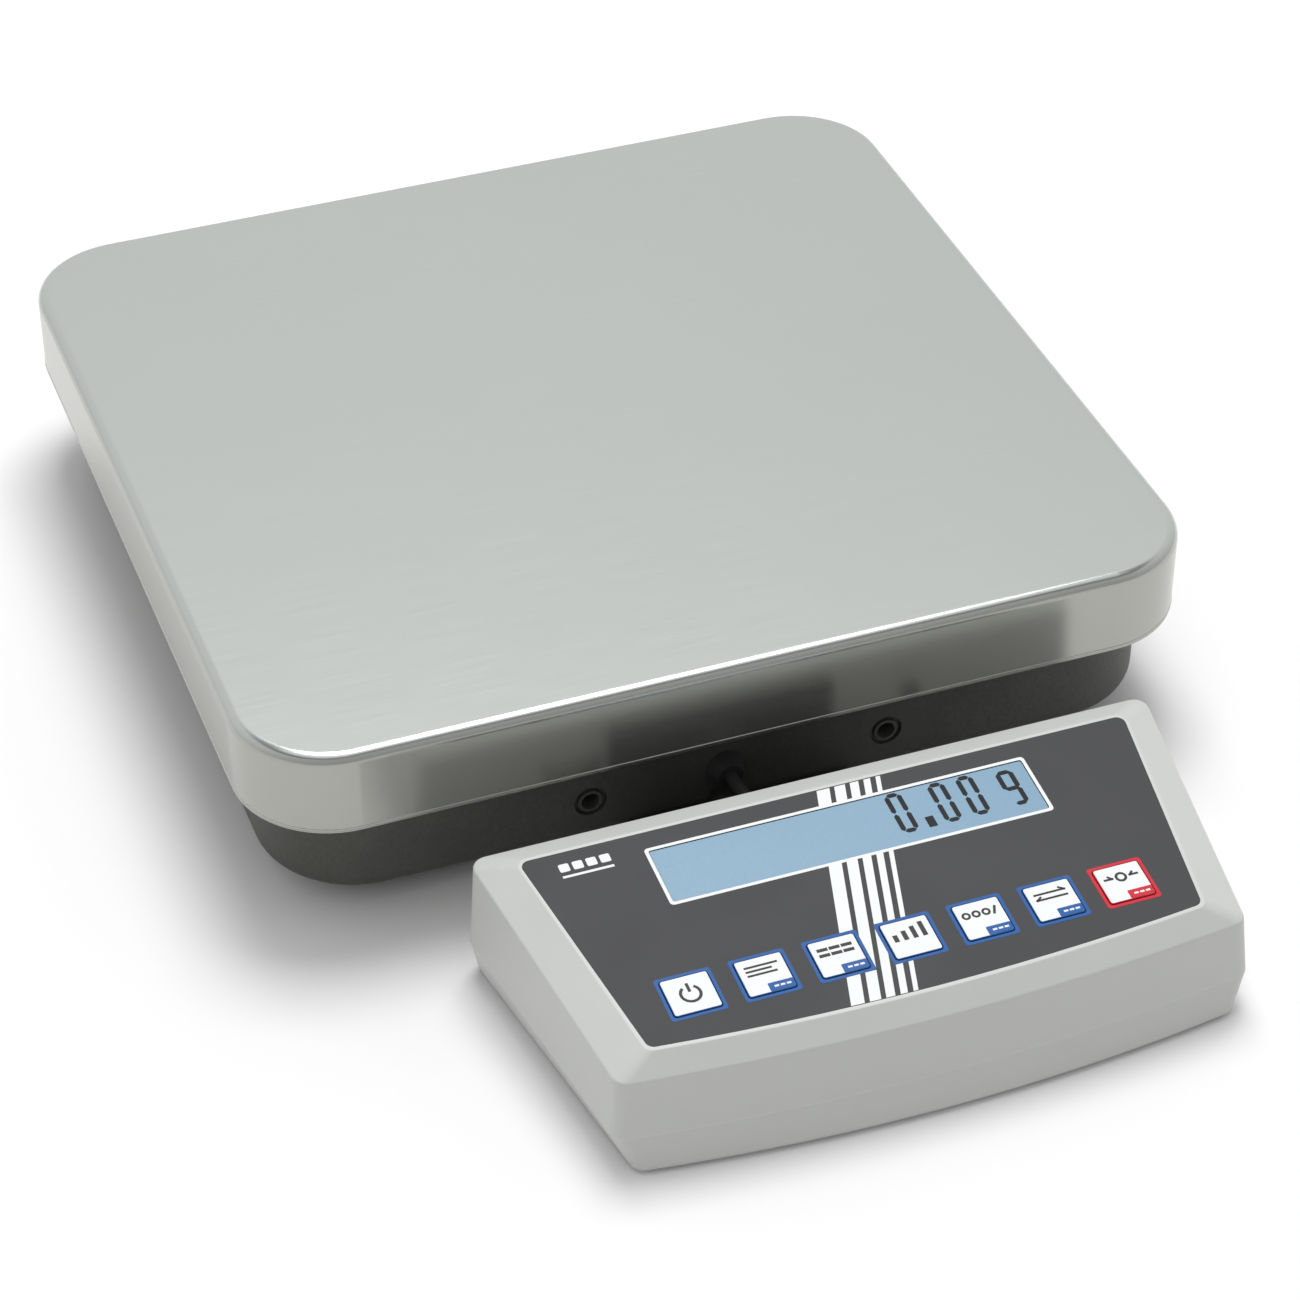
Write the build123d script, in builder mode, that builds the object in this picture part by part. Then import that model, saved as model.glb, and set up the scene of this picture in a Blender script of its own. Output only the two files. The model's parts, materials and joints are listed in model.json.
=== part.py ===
from build123d import *
import math
import os

# Counting scale: a low weighing platform with a display head standing in front of it.
# Frame: +X to the right, +Y to the back, +Z up. The origin is the centre of the
# overall box at the level of the floor. All sizes are in millimetres.

# ---------------------------------------------------------------- driving dimensions
plate_width = 315.0          # load plate, left to right
plate_depth = 305.0          # load plate, front to back
plate_top = 70.0             # top of the load plate above the floor
overall_depth = 440.0        # from the front of the head to the back of the plate
plate_corner = 32.0          # plan radius of the plate's corners
plate_edge = 3.5             # rolled edge between the plate's top and its skirt
sheet = 1.5                  # thickness of the plate's steel
skirt = 29.0                 # height of the plate's skirt

base_side_gap = 8.0          # how far the base stands inside the plate's outline
base_bottom = 7.0            # underside of the base above the floor
base_height = 47.0
base_wall = 4.0
base_corner = 33.0
base_round = 7.0             # rounding between the base's walls and its underside

cell_length = 150.0          # single point load cell
cell_width = 40.0
cell_height = 22.0
cell_bottom = 20.0
cell_bolt_pitch = 16.0       # between the two rows of bolts at each end
cell_bolt_spread = 24.0      # between the two bolts of one row
spacer = 2.0

carrier_bottom = 50.0
carrier_top = 60.0
pad_x = 100.0                # support pads, from the middle of the plate
pad_y = 95.0
stop_x = 60.0                # overload stops, under the carrier's arms
stop_gap = 0.6

foot_x = 122.0               # levelling feet, from the middle of the plate
foot_y = 116.5
foot_thread = 8.0
pad_radius = 14.0            # rubber pad under each foot
pad_top_radius = 12.0
knob_bottom = 4.5            # grip ring above the pad
knob_top = 7.2
knob_radius = 12.0
knob_notches = 24
foot_neck = 3.5              # the screw's pin inside the pad
foot_pocket = 15.5           # pocket in the base over each foot
foot_pocket_top = 10.0
running = 0.05               # radial clearance of a thread that turns

head_x = 11.0                # the head stands a little to the right of the plate's middle
head_bottom = 1.0
head_split = 13.0            # joint between the lower and the upper shell
head_rear = -110.5           # rear wall of the head
head_wall = 2.5
panel_slope = 5.7            # degrees, the panel falls to the front
panel_y = -160.0             # a point of the panel's surface
panel_z = 41.5
panel_drop = 4.5             # from the panel down to the edge of the bevelled rim
rim_radius = 0.9             # rounding along the rim's outer edge
foil = 0.5                   # thickness of the keypad foil
foil_recess = 0.6

key_count = 7
key_pitch = 23.0
key_line = -25.2             # keys in front of the panel's middle
key_width = 14.8
key_depth = 14.0
key_clearance = 0.3
key_travel = 0.5
key_opening_width = key_width + 2 * key_clearance
key_opening_depth = key_depth + 2 * key_clearance

window_y = 21.0              # display window behind the panel's middle
window_width = 122.0
window_depth = 21.6

lead_diameter = 4.2

plate_y = overall_depth / 2 - plate_depth / 2
base_width = plate_width - 2 * base_side_gap
base_depth = plate_depth - 2 * base_side_gap
base_front = plate_y - base_depth / 2
base_floor = base_bottom + base_wall
plate_under = plate_top - sheet
cell_top = cell_bottom + cell_height
fixed_end = -cell_length / 2 + cell_bolt_pitch      # middle of the bolted end on the base
live_end = cell_length / 2 - cell_bolt_pitch        # middle of the end that carries the plate
stop_y = stop_x * pad_y / pad_x
head_front = -overall_depth / 2

panel = Plane(
    origin=(head_x, panel_y, panel_z),
    x_dir=(1, 0, 0),
    z_dir=(0, -math.sin(math.radians(panel_slope)), math.cos(math.radians(panel_slope))),
)
key_xs = [(i - (key_count - 1) / 2) * key_pitch for i in range(key_count)]
corners = [(-1, -1), (1, -1), (-1, 1), (1, 1)]
foot_spots = [(sx * foot_x, plate_y + sy * foot_y) for sx, sy in corners]
pad_spots = [(sx * pad_x, plate_y + sy * pad_y) for sx, sy in corners]
stop_spots = [(sx * stop_x, plate_y + sy * stop_y) for sx, sy in corners]

os.makedirs("parts", exist_ok=True)


def save(piece, name):
    """Label a finished piece and write it as one file."""
    piece.part.label = name
    export_step(piece.part, "parts/" + name + ".step")


def bolt_spots(x_middle):
    """The four bolts of one end of the load cell."""
    half_pitch = cell_bolt_pitch / 2
    half_spread = cell_bolt_spread / 2
    return [(x_middle + sx * half_pitch, plate_y + sy * half_spread) for sx, sy in corners]


def socket_screw(spots, seat, diameter, length, down=True):
    """Socket head screws on a level seat, with the heads above it or below it."""
    way = 1 if down else -1
    head_radius = diameter * 0.85
    with BuildPart() as screws:
        with BuildSketch(Plane.XY.offset(seat)):
            with Locations(*spots):
                Circle(head_radius)
        extrude(amount=way * diameter)
        with BuildSketch(Plane.XY.offset(seat + way * diameter)):
            with Locations(*spots):
                RegularPolygon(diameter * 0.42, 6, major_radius=False)
        extrude(amount=-way * diameter * 0.6, mode=Mode.SUBTRACT)
        with BuildSketch(Plane.XY.offset(seat)):
            with Locations(*spots):
                Circle(diameter / 2)
        extrude(amount=-way * length)
    return screws


# ---------------------------------------------------------------- load plate
with BuildPart() as load_plate:
    with BuildSketch(Plane.XY.offset(plate_top - skirt)):
        with Locations((0, plate_y)):
            RectangleRounded(plate_width, plate_depth, plate_corner)
    extrude(amount=skirt)
    fillet(load_plate.faces().sort_by(Axis.Z)[-1].edges(), plate_edge)
    offset(amount=-sheet, openings=load_plate.faces().sort_by(Axis.Z)[0])
save(load_plate, "load_plate")

stiffener_width = 240.0
stiffener_depth = 230.0
stiffener_opening = (150.0, 140.0)
stiffener_corner = 20.0
stiffener_sheet = 2.0
pad_hole = 10.5
with BuildPart() as plate_stiffener:
    with BuildSketch(Plane.XY.offset(plate_under - stiffener_sheet)):
        with Locations((0, plate_y)):
            RectangleRounded(stiffener_width, stiffener_depth, stiffener_corner)
            RectangleRounded(*stiffener_opening, stiffener_corner, mode=Mode.SUBTRACT)
        with Locations(*pad_spots):
            Circle(pad_hole, mode=Mode.SUBTRACT)
    extrude(amount=stiffener_sheet)
save(plate_stiffener, "plate_stiffener")

# ---------------------------------------------------------------- carrier and its pads
arm_width = 24.0
hub_overhang = 17.0          # the hub reaches this far beyond the middle of the bolts
hub_width = 50.0
seat_length = 34.0           # bolted seat on each end of the load cell
seat_corner = 3.0
carrier_slot = (56.0, 26.0)
carrier_bore = 6.5           # depth of the counterbores for the screw heads
cell_clearance_radius = 3.3
cell_bore_radius = 5.6
pad_pin = 4.0                # radius of the pin that holds a support pad
pad_pin_length = 8.0
pad_flange = 2.5
with BuildPart() as plate_carrier:
    arm_length = 2 * math.hypot(pad_x, pad_y)
    arm_angle = math.degrees(math.atan2(pad_y, pad_x))
    with BuildSketch(Plane.XY.offset(carrier_bottom)):
        with Locations((0, plate_y)):
            Rectangle(arm_length, arm_width, rotation=arm_angle)
            Rectangle(arm_length, arm_width, rotation=-arm_angle)
            Rectangle(2 * (live_end + hub_overhang), hub_width)
        with Locations(*pad_spots):
            Circle(15)
    extrude(amount=carrier_top - carrier_bottom)
    with BuildSketch(Plane.XY.offset(carrier_bottom)):
        with Locations((live_end, plate_y)):
            RectangleRounded(seat_length, cell_width, seat_corner)
    extrude(amount=-(carrier_bottom - cell_top - spacer))
    with BuildSketch(Plane.XY.offset(carrier_top)):
        with Locations((-live_end / 2 - 8, plate_y)):
            SlotOverall(*carrier_slot)
    extrude(amount=-(carrier_top - carrier_bottom), mode=Mode.SUBTRACT)
    with Locations(*[(x, y, carrier_top) for x, y in bolt_spots(live_end)]):
        CounterBoreHole(cell_clearance_radius, cell_bore_radius, carrier_bore)
    with Locations(*[(x, y, carrier_top) for x, y in pad_spots]):
        Hole(radius=pad_pin, depth=pad_pin_length)
save(plate_carrier, "plate_carrier")

with BuildPart() as support_pads:
    with BuildSketch(Plane.XY.offset(carrier_top - pad_pin_length)):
        with Locations(*pad_spots):
            Circle(pad_pin)
    extrude(amount=pad_pin_length)
    with BuildSketch(Plane.XY.offset(carrier_top)):
        with Locations(*pad_spots):
            Circle(13)
    extrude(amount=pad_flange)
    with BuildSketch(Plane.XY.offset(carrier_top + pad_flange)):
        with Locations(*pad_spots):
            Circle(pad_hole - 0.7)
    extrude(amount=plate_under - carrier_top - pad_flange)
save(support_pads, "support_pads")

with BuildPart() as upper_spacer:
    with BuildSketch(Plane.XY.offset(cell_top)):
        with Locations((live_end, plate_y)):
            RectangleRounded(seat_length, cell_width, seat_corner)
        with Locations(*bolt_spots(live_end)):
            Circle(cell_clearance_radius, mode=Mode.SUBTRACT)
    extrude(amount=spacer)
save(upper_spacer, "upper_spacer")

cell_thread = 6.0
carrier_screws = socket_screw(bolt_spots(live_end), carrier_top - carrier_bore, cell_thread, 23.0)
save(carrier_screws, "carrier_screws")

# ---------------------------------------------------------------- load cell
flexure_radius = 8.5
flexure_x = 18.0             # the two round openings, from the cell's middle
flexure_slot = 6.0
cell_hole_depth = 14.0
gauge_cover = 1.2
with BuildPart() as load_cell:
    cell_middle = cell_bottom + cell_height / 2
    with BuildSketch(Plane.XY.offset(cell_bottom)):
        with Locations((0, plate_y)):
            Rectangle(cell_length, cell_width)
    extrude(amount=cell_height)
    with BuildSketch(Plane.XZ.offset(-(plate_y - cell_width / 2))):
        with Locations((-flexure_x, cell_middle), (flexure_x, cell_middle)):
            Circle(flexure_radius)
        with Locations((0, cell_middle)):
            Rectangle(2 * flexure_x, flexure_slot)
    extrude(amount=-cell_width, mode=Mode.SUBTRACT)
    with Locations(*[(x, y, cell_top) for x, y in bolt_spots(live_end)]):
        Hole(radius=cell_thread / 2 + running, depth=cell_hole_depth)
    with BuildSketch(Plane.XY.offset(cell_bottom)):
        with Locations(*bolt_spots(fixed_end)):
            Circle(cell_thread / 2)
    extrude(amount=cell_hole_depth, mode=Mode.SUBTRACT)
save(load_cell, "load_cell")

with BuildPart() as gauge_covers:
    for cover_bottom in (cell_top, cell_bottom - gauge_cover):
        with BuildSketch(Plane.XY.offset(cover_bottom)):
            with Locations((0, plate_y)):
                RectangleRounded(56, 22, 4)
        extrude(amount=gauge_cover)
save(gauge_covers, "gauge_covers")

with BuildPart() as lower_spacer:
    with BuildSketch(Plane.XY.offset(cell_bottom - spacer)):
        with Locations((fixed_end, plate_y)):
            RectangleRounded(seat_length, cell_width, seat_corner)
        with Locations(*bolt_spots(fixed_end)):
            Circle(cell_clearance_radius, mode=Mode.SUBTRACT)
    extrude(amount=spacer)
save(lower_spacer, "lower_spacer")

fixed_seat = 16.2            # the heads of the load cell's lower screws sit against this level
cell_screws = socket_screw(bolt_spots(fixed_end), fixed_seat, cell_thread, 17.0, down=False)
save(cell_screws, "cell_screws")

# ---------------------------------------------------------------- base housing
boss_top = 30.0
board_seat = 20.0
adc_x = -5.0
adc_y = -43.0
adc_holes = [(adc_x + sx * 25, adc_y + sy * 15) for sx, sy in corners]
front_hole_spacing = 100.0
front_hole_z = 23.0
front_hole_collar = 4.0      # radius of the collar round each threaded hole
front_hole_groove = 1.4      # width and depth of the groove round the collar
front_hole_radius = 3.0
lead_base_x = -5.0
lead_base_z = 24.0
gland_wall = 6.0             # the base's front wall where the lead passes through it
gland_hole = 5.0
lead_slot_z = 13.0           # shallow slot below the lead
lead_slot = (10.0, 6.0)
lead_slot_depth = 2.5
rib = 3.0
rib_height = 6.0
stop_radius = 3.0
board_screw = 1.25           # radius of the small board screws
board_boss = 3.5
gland_flange = 2.0
bracket_screw_x = 28.0
bracket_thread = 4.0
bracket_base_y = -50.0
bracket_base_spots = [(-bracket_screw_x, bracket_base_y), (bracket_screw_x, bracket_base_y)]
level_spot = (0.0, 192.0)
level_seat = 46.0

with BuildPart() as base_housing:
    with BuildSketch(Plane.XY.offset(base_bottom)):
        with Locations((0, plate_y)):
            RectangleRounded(base_width, base_depth, base_corner)
    extrude(amount=base_height)
    fillet(base_housing.faces().sort_by(Axis.Z)[0].edges(), base_round)
    offset(amount=-base_wall, openings=base_housing.faces().sort_by(Axis.Z)[-1])
    # floor ribs
    with BuildSketch(Plane.XY.offset(base_floor)):
        with Locations((0, plate_y - 80), (0, plate_y + 80)):
            Rectangle(base_width - 2 * base_wall, rib)
        with Locations((-98, plate_y), (98, plate_y)):
            Rectangle(rib, 240)
    extrude(amount=rib_height)
    # floor raised over the pockets for the feet
    with BuildSketch(Plane.XY.offset(base_floor)):
        with Locations(*foot_spots):
            Circle(foot_pocket + 3)
    extrude(amount=foot_pocket_top + base_wall - base_floor)
    with BuildSketch(Plane.XY.offset(base_bottom)):
        with Locations(*foot_spots):
            Circle(foot_pocket)
    extrude(amount=foot_pocket_top - base_bottom, mode=Mode.SUBTRACT)
    # bosses for the feet, the overload stops, the load cell, the board and the level
    with BuildSketch(Plane.XY.offset(base_floor)):
        with Locations(*foot_spots):
            Circle(10)
        with Locations(*stop_spots):
            Circle(8)
    extrude(amount=boss_top - base_floor)
    with BuildSketch(Plane.XY.offset(base_floor)):
        with Locations((fixed_end, plate_y)):
            RectangleRounded(36, 44, 3)
        with Locations(*bracket_base_spots):
            Circle(6)
    extrude(amount=cell_bottom - spacer - base_floor)
    with BuildSketch(Plane.XY.offset(base_floor)):
        with Locations(*adc_holes):
            Circle(board_boss)
    extrude(amount=board_seat - base_floor)
    with BuildSketch(Plane.XY.offset(base_floor)):
        with Locations(level_spot):
            Circle(11)
    extrude(amount=level_seat - base_floor)
    # bosses behind the two threaded holes in the front wall
    hole_xs = (-front_hole_spacing / 2, front_hole_spacing / 2)
    with BuildSketch(Plane.XZ.offset(-(base_front + base_wall))):
        with Locations(*[(x, front_hole_z) for x in hole_xs]):
            Circle(8)
    extrude(amount=-9)
    with BuildSketch(Plane.XZ.offset(-base_front)):
        with Locations(*[(x, front_hole_z) for x in hole_xs]):
            Circle(front_hole_collar + front_hole_groove)
            Circle(front_hole_collar, mode=Mode.SUBTRACT)
    extrude(amount=-front_hole_groove, mode=Mode.SUBTRACT)
    with BuildSketch(Plane.XZ.offset(-base_front)):
        with Locations(*[(x, front_hole_z) for x in hole_xs]):
            Circle(front_hole_radius)
    extrude(amount=-11, mode=Mode.SUBTRACT)
    # opening for the lead's gland in a thickened spot, and the slot below it
    with BuildSketch(Plane.XZ.offset(-(base_front + base_wall - 1))):
        with Locations((lead_base_x, lead_base_z)):
            Circle(8.5)
    extrude(amount=-(gland_wall - base_wall + 1))
    with BuildSketch(Plane.XZ.offset(-base_front)):
        with Locations((lead_base_x, lead_base_z)):
            Circle(gland_hole)
    extrude(amount=-gland_wall, mode=Mode.SUBTRACT)
    with BuildSketch(Plane.XZ.offset(-base_front)):
        with Locations((lead_base_x, lead_slot_z)):
            Rectangle(*lead_slot)
    extrude(amount=-lead_slot_depth, mode=Mode.SUBTRACT)
    # holes for the feet, the bracket, the load cell, the board and the stops
    with BuildSketch(Plane.XY.offset(base_bottom)):
        with Locations(*foot_spots):
            Circle(foot_thread / 2 + running)
        with Locations(*bracket_base_spots):
            Circle(bracket_thread / 2)
        with Locations(*bolt_spots(fixed_end)):
            Circle(cell_clearance_radius)
    extrude(amount=boss_top - base_bottom, mode=Mode.SUBTRACT)
    with BuildSketch(Plane.XY.offset(base_bottom)):
        with Locations(*bolt_spots(fixed_end)):
            Circle(cell_bore_radius)
    extrude(amount=fixed_seat - base_bottom, mode=Mode.SUBTRACT)
    with BuildSketch(Plane.XY.offset(board_seat)):
        with Locations(*stop_spots):
            Circle(stop_radius)
    extrude(amount=boss_top, mode=Mode.SUBTRACT)
    with BuildSketch(Plane.XY.offset(base_floor + 1)):
        with Locations(*adc_holes):
            Circle(board_screw)
    extrude(amount=board_seat - base_floor, mode=Mode.SUBTRACT)
save(base_housing, "base_housing")

# ---------------------------------------------------------------- overload stops
stop_top = carrier_bottom - stop_gap
stop_nut = 5.0               # half the width across the lock nut's flats, and its height
with BuildPart() as overload_stops:
    with BuildSketch(Plane.XY.offset(board_seat)):
        with Locations(*stop_spots):
            Circle(stop_radius)
    extrude(amount=stop_top - board_seat)
    with BuildSketch(Plane.XY.offset(stop_top)):
        with Locations(*stop_spots):
            RegularPolygon(stop_radius * 0.53, 6)
    extrude(amount=-stop_radius, mode=Mode.SUBTRACT)
save(overload_stops, "overload_stops")

with BuildPart() as stop_lock_nuts:
    with BuildSketch(Plane.XY.offset(boss_top)):
        with Locations(*stop_spots):
            RegularPolygon(stop_nut, 6, major_radius=False)
        with Locations(*stop_spots):
            Circle(stop_radius, mode=Mode.SUBTRACT)
    extrude(amount=stop_nut)
save(stop_lock_nuts, "stop_lock_nuts")

# ---------------------------------------------------------------- spirit level
level_radius = 10.0
level_height = 9.0
level_wall = 2.0
level_lens_height = 1.5
level_bore = level_radius - level_wall
lens_bottom = level_seat + level_height - level_lens_height
with BuildPart() as level_cup:
    with BuildSketch(Plane.XY.offset(level_seat)):
        with Locations(level_spot):
            Circle(level_radius)
    extrude(amount=level_height)
    with BuildSketch(Plane.XY.offset(level_seat + level_wall)):
        with Locations(level_spot):
            Circle(level_bore)
    extrude(amount=level_height, mode=Mode.SUBTRACT)
save(level_cup, "level_cup")

with BuildPart() as level_fluid:
    with BuildSketch(Plane.XY.offset(level_seat + level_wall)):
        with Locations(level_spot):
            Circle(level_bore)
    extrude(amount=lens_bottom - level_seat - level_wall)
save(level_fluid, "level_fluid")

with BuildPart() as level_lens:
    with BuildSketch(Plane.XY.offset(lens_bottom)):
        with Locations(level_spot):
            Circle(level_bore)
    extrude(amount=level_lens_height)
save(level_lens, "level_lens")

# ---------------------------------------------------------------- levelling feet
for number, spot in enumerate(foot_spots, start=1):
    with BuildPart() as foot_pad:
        with BuildSketch():
            with Locations(spot):
                Circle(pad_radius)
        with BuildSketch(Plane.XY.offset(knob_bottom)):
            with Locations(spot):
                Circle(pad_top_radius)
        loft()
        with BuildSketch(Plane.XY.offset(knob_bottom)):
            with Locations(spot):
                Circle(foot_neck + running)
        extrude(amount=-2.5, mode=Mode.SUBTRACT)
    save(foot_pad, "foot_pad_" + str(number))

    with BuildPart() as foot_screw:
        with BuildSketch(Plane.XY.offset(knob_bottom)):
            with Locations(spot):
                Circle(knob_radius)
                with PolarLocations(knob_radius, knob_notches):
                    Circle(1, mode=Mode.SUBTRACT)
        extrude(amount=knob_top - knob_bottom)
        with BuildSketch(Plane.XY.offset(knob_top)):
            with Locations(spot):
                Circle(foot_thread / 2)
        extrude(amount=boss_top - 3 - knob_top)
        with BuildSketch(Plane.XY.offset(knob_bottom)):
            with Locations(spot):
                Circle(foot_neck)
        extrude(amount=-2.4)
    save(foot_screw, "foot_screw_" + str(number))

# ---------------------------------------------------------------- converter board
board = 1.6
adc_top = board_seat + board
with BuildPart() as converter_board:
    with BuildSketch(Plane.XY.offset(board_seat)):
        with Locations((adc_x, adc_y)):
            Rectangle(60, 40)
        with Locations(*adc_holes):
            Circle(1.4, mode=Mode.SUBTRACT)
    extrude(amount=board)
    with BuildSketch(Plane.XY.offset(adc_top)):
        with Locations((adc_x - 17, adc_y)):
            Rectangle(9, 9)
        with Locations((adc_x + 16, adc_y - 3)):
            Rectangle(7, 14)
    extrude(amount=1.8)
save(converter_board, "converter_board")

converter_screws = socket_screw(adc_holes, adc_top, 2 * board_screw, 6.0)
save(converter_screws, "converter_screws")

lead_base_end = base_front + gland_wall + gland_flange
lead_plug_depth = 9.0
with BuildPart() as converter_plug:
    with BuildSketch(Plane.XY.offset(adc_top)):
        with Locations((lead_base_x, lead_base_end + lead_plug_depth / 2)):
            Rectangle(10, lead_plug_depth)
    extrude(amount=5.5)
save(converter_plug, "converter_plug")

# ---------------------------------------------------------------- load cell lead
cell_lead_x = -16.0
cell_lead_z = 25.0
with BuildPart() as cell_lead_plug:
    with BuildSketch(Plane.XY.offset(adc_top)):
        with Locations((cell_lead_x, adc_y + 13)):
            Rectangle(9, 9)
    extrude(amount=5.5)
save(cell_lead_plug, "cell_lead_plug")

cell_lead_points = [
    (-40, plate_y - cell_width / 2, 28),
    (-40, 16, 28),
    (cell_lead_x, -4, cell_lead_z),
    (cell_lead_x, adc_y + 17.5, cell_lead_z),
]


def arc_radii(points):
    """One radius for each corner of a route: as large as the two runs beside it allow."""
    radii = []
    for before, corner, after in zip(points, points[1:], points[2:]):
        run_in = Vector(*corner) - Vector(*before)
        run_out = Vector(*after) - Vector(*corner)
        half_turn = math.radians(run_in.get_angle(run_out) / 2)
        radii.append(0.45 * min(run_in.length, run_out.length) / math.tan(half_turn))
    return radii


def lead(points, diameter, name):
    """A round lead along straight runs joined by tangent arcs."""
    radii = arc_radii(points)
    print(name, "radii", [round(radius, 1) for radius in radii])
    with BuildPart() as tube:
        with BuildLine() as route:
            FilletPolyline(*points, radius=radii)
        path = route.wires()[0]
        with BuildSketch(Plane(origin=path @ 0, z_dir=path % 0)):
            Circle(diameter / 2)
        sweep(path=path)
    full_volume = math.pi * diameter**2 / 4 * path.length
    print(name, "length", round(path.length, 1), "volume ratio", round(tube.part.volume / full_volume, 4))
    return tube


cell_lead = lead(cell_lead_points, 3.0, "cell_lead")
save(cell_lead, "cell_lead")

# ---------------------------------------------------------------- link lead and its glands
gland_reach = 5.0
gland_radius = 6.5
gland_tip_radius = 4.2
lead_head_x = -0.5
lead_head_z = 20.0
link_points = [
    (lead_base_x, lead_base_end, lead_base_z),
    (lead_base_x, base_front - gland_reach - 6.5, lead_base_z),
    (lead_head_x, head_rear + gland_reach + 6.5, lead_head_z),
    (lead_head_x, head_rear - head_wall - gland_flange, lead_head_z),
]
link_lead = lead(link_points, lead_diameter, "link_lead")
save(link_lead, "link_lead")


def gland(x, z, outer_y, wall, way):
    """A rubber gland in a wall: tapered boot outside, collar in the wall, flange inside."""
    with BuildPart() as grommet:
        with BuildSketch(Plane.XZ.offset(-outer_y)):
            with Locations((x, z)):
                Circle(gland_radius)
        with BuildSketch(Plane.XZ.offset(-(outer_y + way * gland_reach))):
            with Locations((x, z)):
                Circle(gland_tip_radius)
        loft()
        with BuildSketch(Plane.XZ.offset(-(outer_y - way * wall))):
            with Locations((x, z)):
                Circle(gland_hole)
        extrude(amount=-way * wall)
        with BuildSketch(Plane.XZ.offset(-(outer_y - way * wall))):
            with Locations((x, z)):
                Circle(gland_radius)
        extrude(amount=way * gland_flange)
        with BuildSketch(Plane.XZ.offset(-(outer_y - way * (wall + gland_flange)))):
            with Locations((x, z)):
                Circle(lead_diameter / 2)
        extrude(amount=-way * (wall + gland_flange + gland_reach), mode=Mode.SUBTRACT)
    return grommet


base_gland = gland(lead_base_x, lead_base_z, base_front, gland_wall, -1)
save(base_gland, "base_gland")
head_gland = gland(lead_head_x, lead_head_z, head_rear, head_wall, 1)
save(head_gland, "head_gland")

# ---------------------------------------------------------------- head bracket
bracket_sheet = 2.0
bracket_width = 76.0
bracket_rear = -36.0
bracket_top = 36.0
bracket_head_z = 27.0
bracket_clearance = 2.2      # radius of the holes in the bracket's sheet
bracket_head_spots = [(-bracket_screw_x, bracket_head_z), (bracket_screw_x, bracket_head_z)]
bracket_screw_head = 2.6     # height of the heads inside the gap
with BuildPart() as head_bracket:
    with BuildSketch(Plane.XY.offset(base_bottom - bracket_sheet)):
        with Locations((0, (head_rear + bracket_rear) / 2)):
            Rectangle(bracket_width, bracket_rear - head_rear)
        with Locations(*bracket_base_spots):
            Circle(bracket_clearance, mode=Mode.SUBTRACT)
    extrude(amount=bracket_sheet)
    with BuildSketch(Plane.XZ.offset(-head_rear)):
        with Locations((0, (base_bottom + bracket_top) / 2 - bracket_sheet / 2)):
            Rectangle(bracket_width, bracket_top - base_bottom + bracket_sheet)
        with Locations(*bracket_head_spots):
            Circle(bracket_clearance, mode=Mode.SUBTRACT)
        with Locations((lead_head_x, lead_head_z)):
            Circle(8, mode=Mode.SUBTRACT)
    extrude(amount=-bracket_sheet)
save(head_bracket, "head_bracket")

bracket_under = base_bottom - bracket_sheet
bracket_base_screws = socket_screw(bracket_base_spots, bracket_under, bracket_thread, 9.0, down=False)
save(bracket_base_screws, "bracket_base_screws")

with BuildPart() as bracket_head_screws:
    head_seat = head_rear + bracket_sheet
    with BuildSketch(Plane.XZ.offset(-head_seat)):
        with Locations(*bracket_head_spots):
            Circle(3.5)
    extrude(amount=-bracket_screw_head)
    with BuildSketch(Plane.XZ.offset(-(head_seat + bracket_screw_head))):
        with Locations(*bracket_head_spots):
            RegularPolygon(1.5, 6)
    extrude(amount=bracket_screw_head - 1, mode=Mode.SUBTRACT)
    with BuildSketch(Plane.XZ.offset(-head_seat)):
        with Locations(*bracket_head_spots):
            Circle(bracket_thread / 2)
    extrude(amount=8)
save(bracket_head_screws, "bracket_head_screws")


# ---------------------------------------------------------------- head shells
def head_outline(plane, rear_half, rear_y, front_half, front_y, apex_y, corner):
    """Plan of the head: straight rear and sides, bowed front, rounded corners."""
    with BuildSketch(plane) as section:
        with BuildLine():
            Line((-rear_half, rear_y), (-front_half, front_y))
            ThreePointArc((-front_half, front_y), (0, apex_y), (front_half, front_y))
            Line((front_half, front_y), (rear_half, rear_y))
            Line((rear_half, rear_y), (-rear_half, rear_y))
        make_face()
        fillet(section.vertices(), corner)
    return section.sketch


def level(z):
    """A level plane whose middle is the head's."""
    return Plane(origin=(head_x, 0, z), x_dir=(1, 0, 0), z_dir=(0, 0, 1))


def bottom_plan(inset, z):
    """Underside of the head, which stands a little forward of the joint between the shells."""
    return head_outline(level(z), 111.5 - inset, head_rear - inset, 95.5 - inset,
                        head_front + 7.5 + inset, head_front + inset, 5 - inset / 2)


def split_plan(inset, z):
    """Joint between the two shells, the head's widest line."""
    return head_outline(level(z), 114 - inset, head_rear - inset, 101 - inset,
                        head_front + 11 + inset, head_front + 4 + inset, 5 - inset / 2)


def rear_wall_on_panel(inset, sink):
    """Where the upright rear wall meets a plane that lies below the panel, along that plane."""
    slope = math.radians(panel_slope)
    return (head_rear - inset - panel_y - sink * math.sin(slope)) / math.cos(slope)


def rim_plan(inset, sink):
    """Outer edge of the bevelled rim."""
    rear_y = rear_wall_on_panel(inset, panel_drop + sink)
    return head_outline(panel.offset(-panel_drop - sink), 112 - inset, rear_y,
                        99.5 - inset, -47.3 + inset, -53 + inset, 4.5 - inset / 2)


def panel_plan(inset, sink):
    """Inner edge of the bevelled rim, level with the panel."""
    return head_outline(panel.offset(-sink), 100.5 - inset, 40.6 - inset,
                        88.6 - inset, -41.4 + inset, -46.2 + inset, 3.5 - inset / 4)


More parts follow.
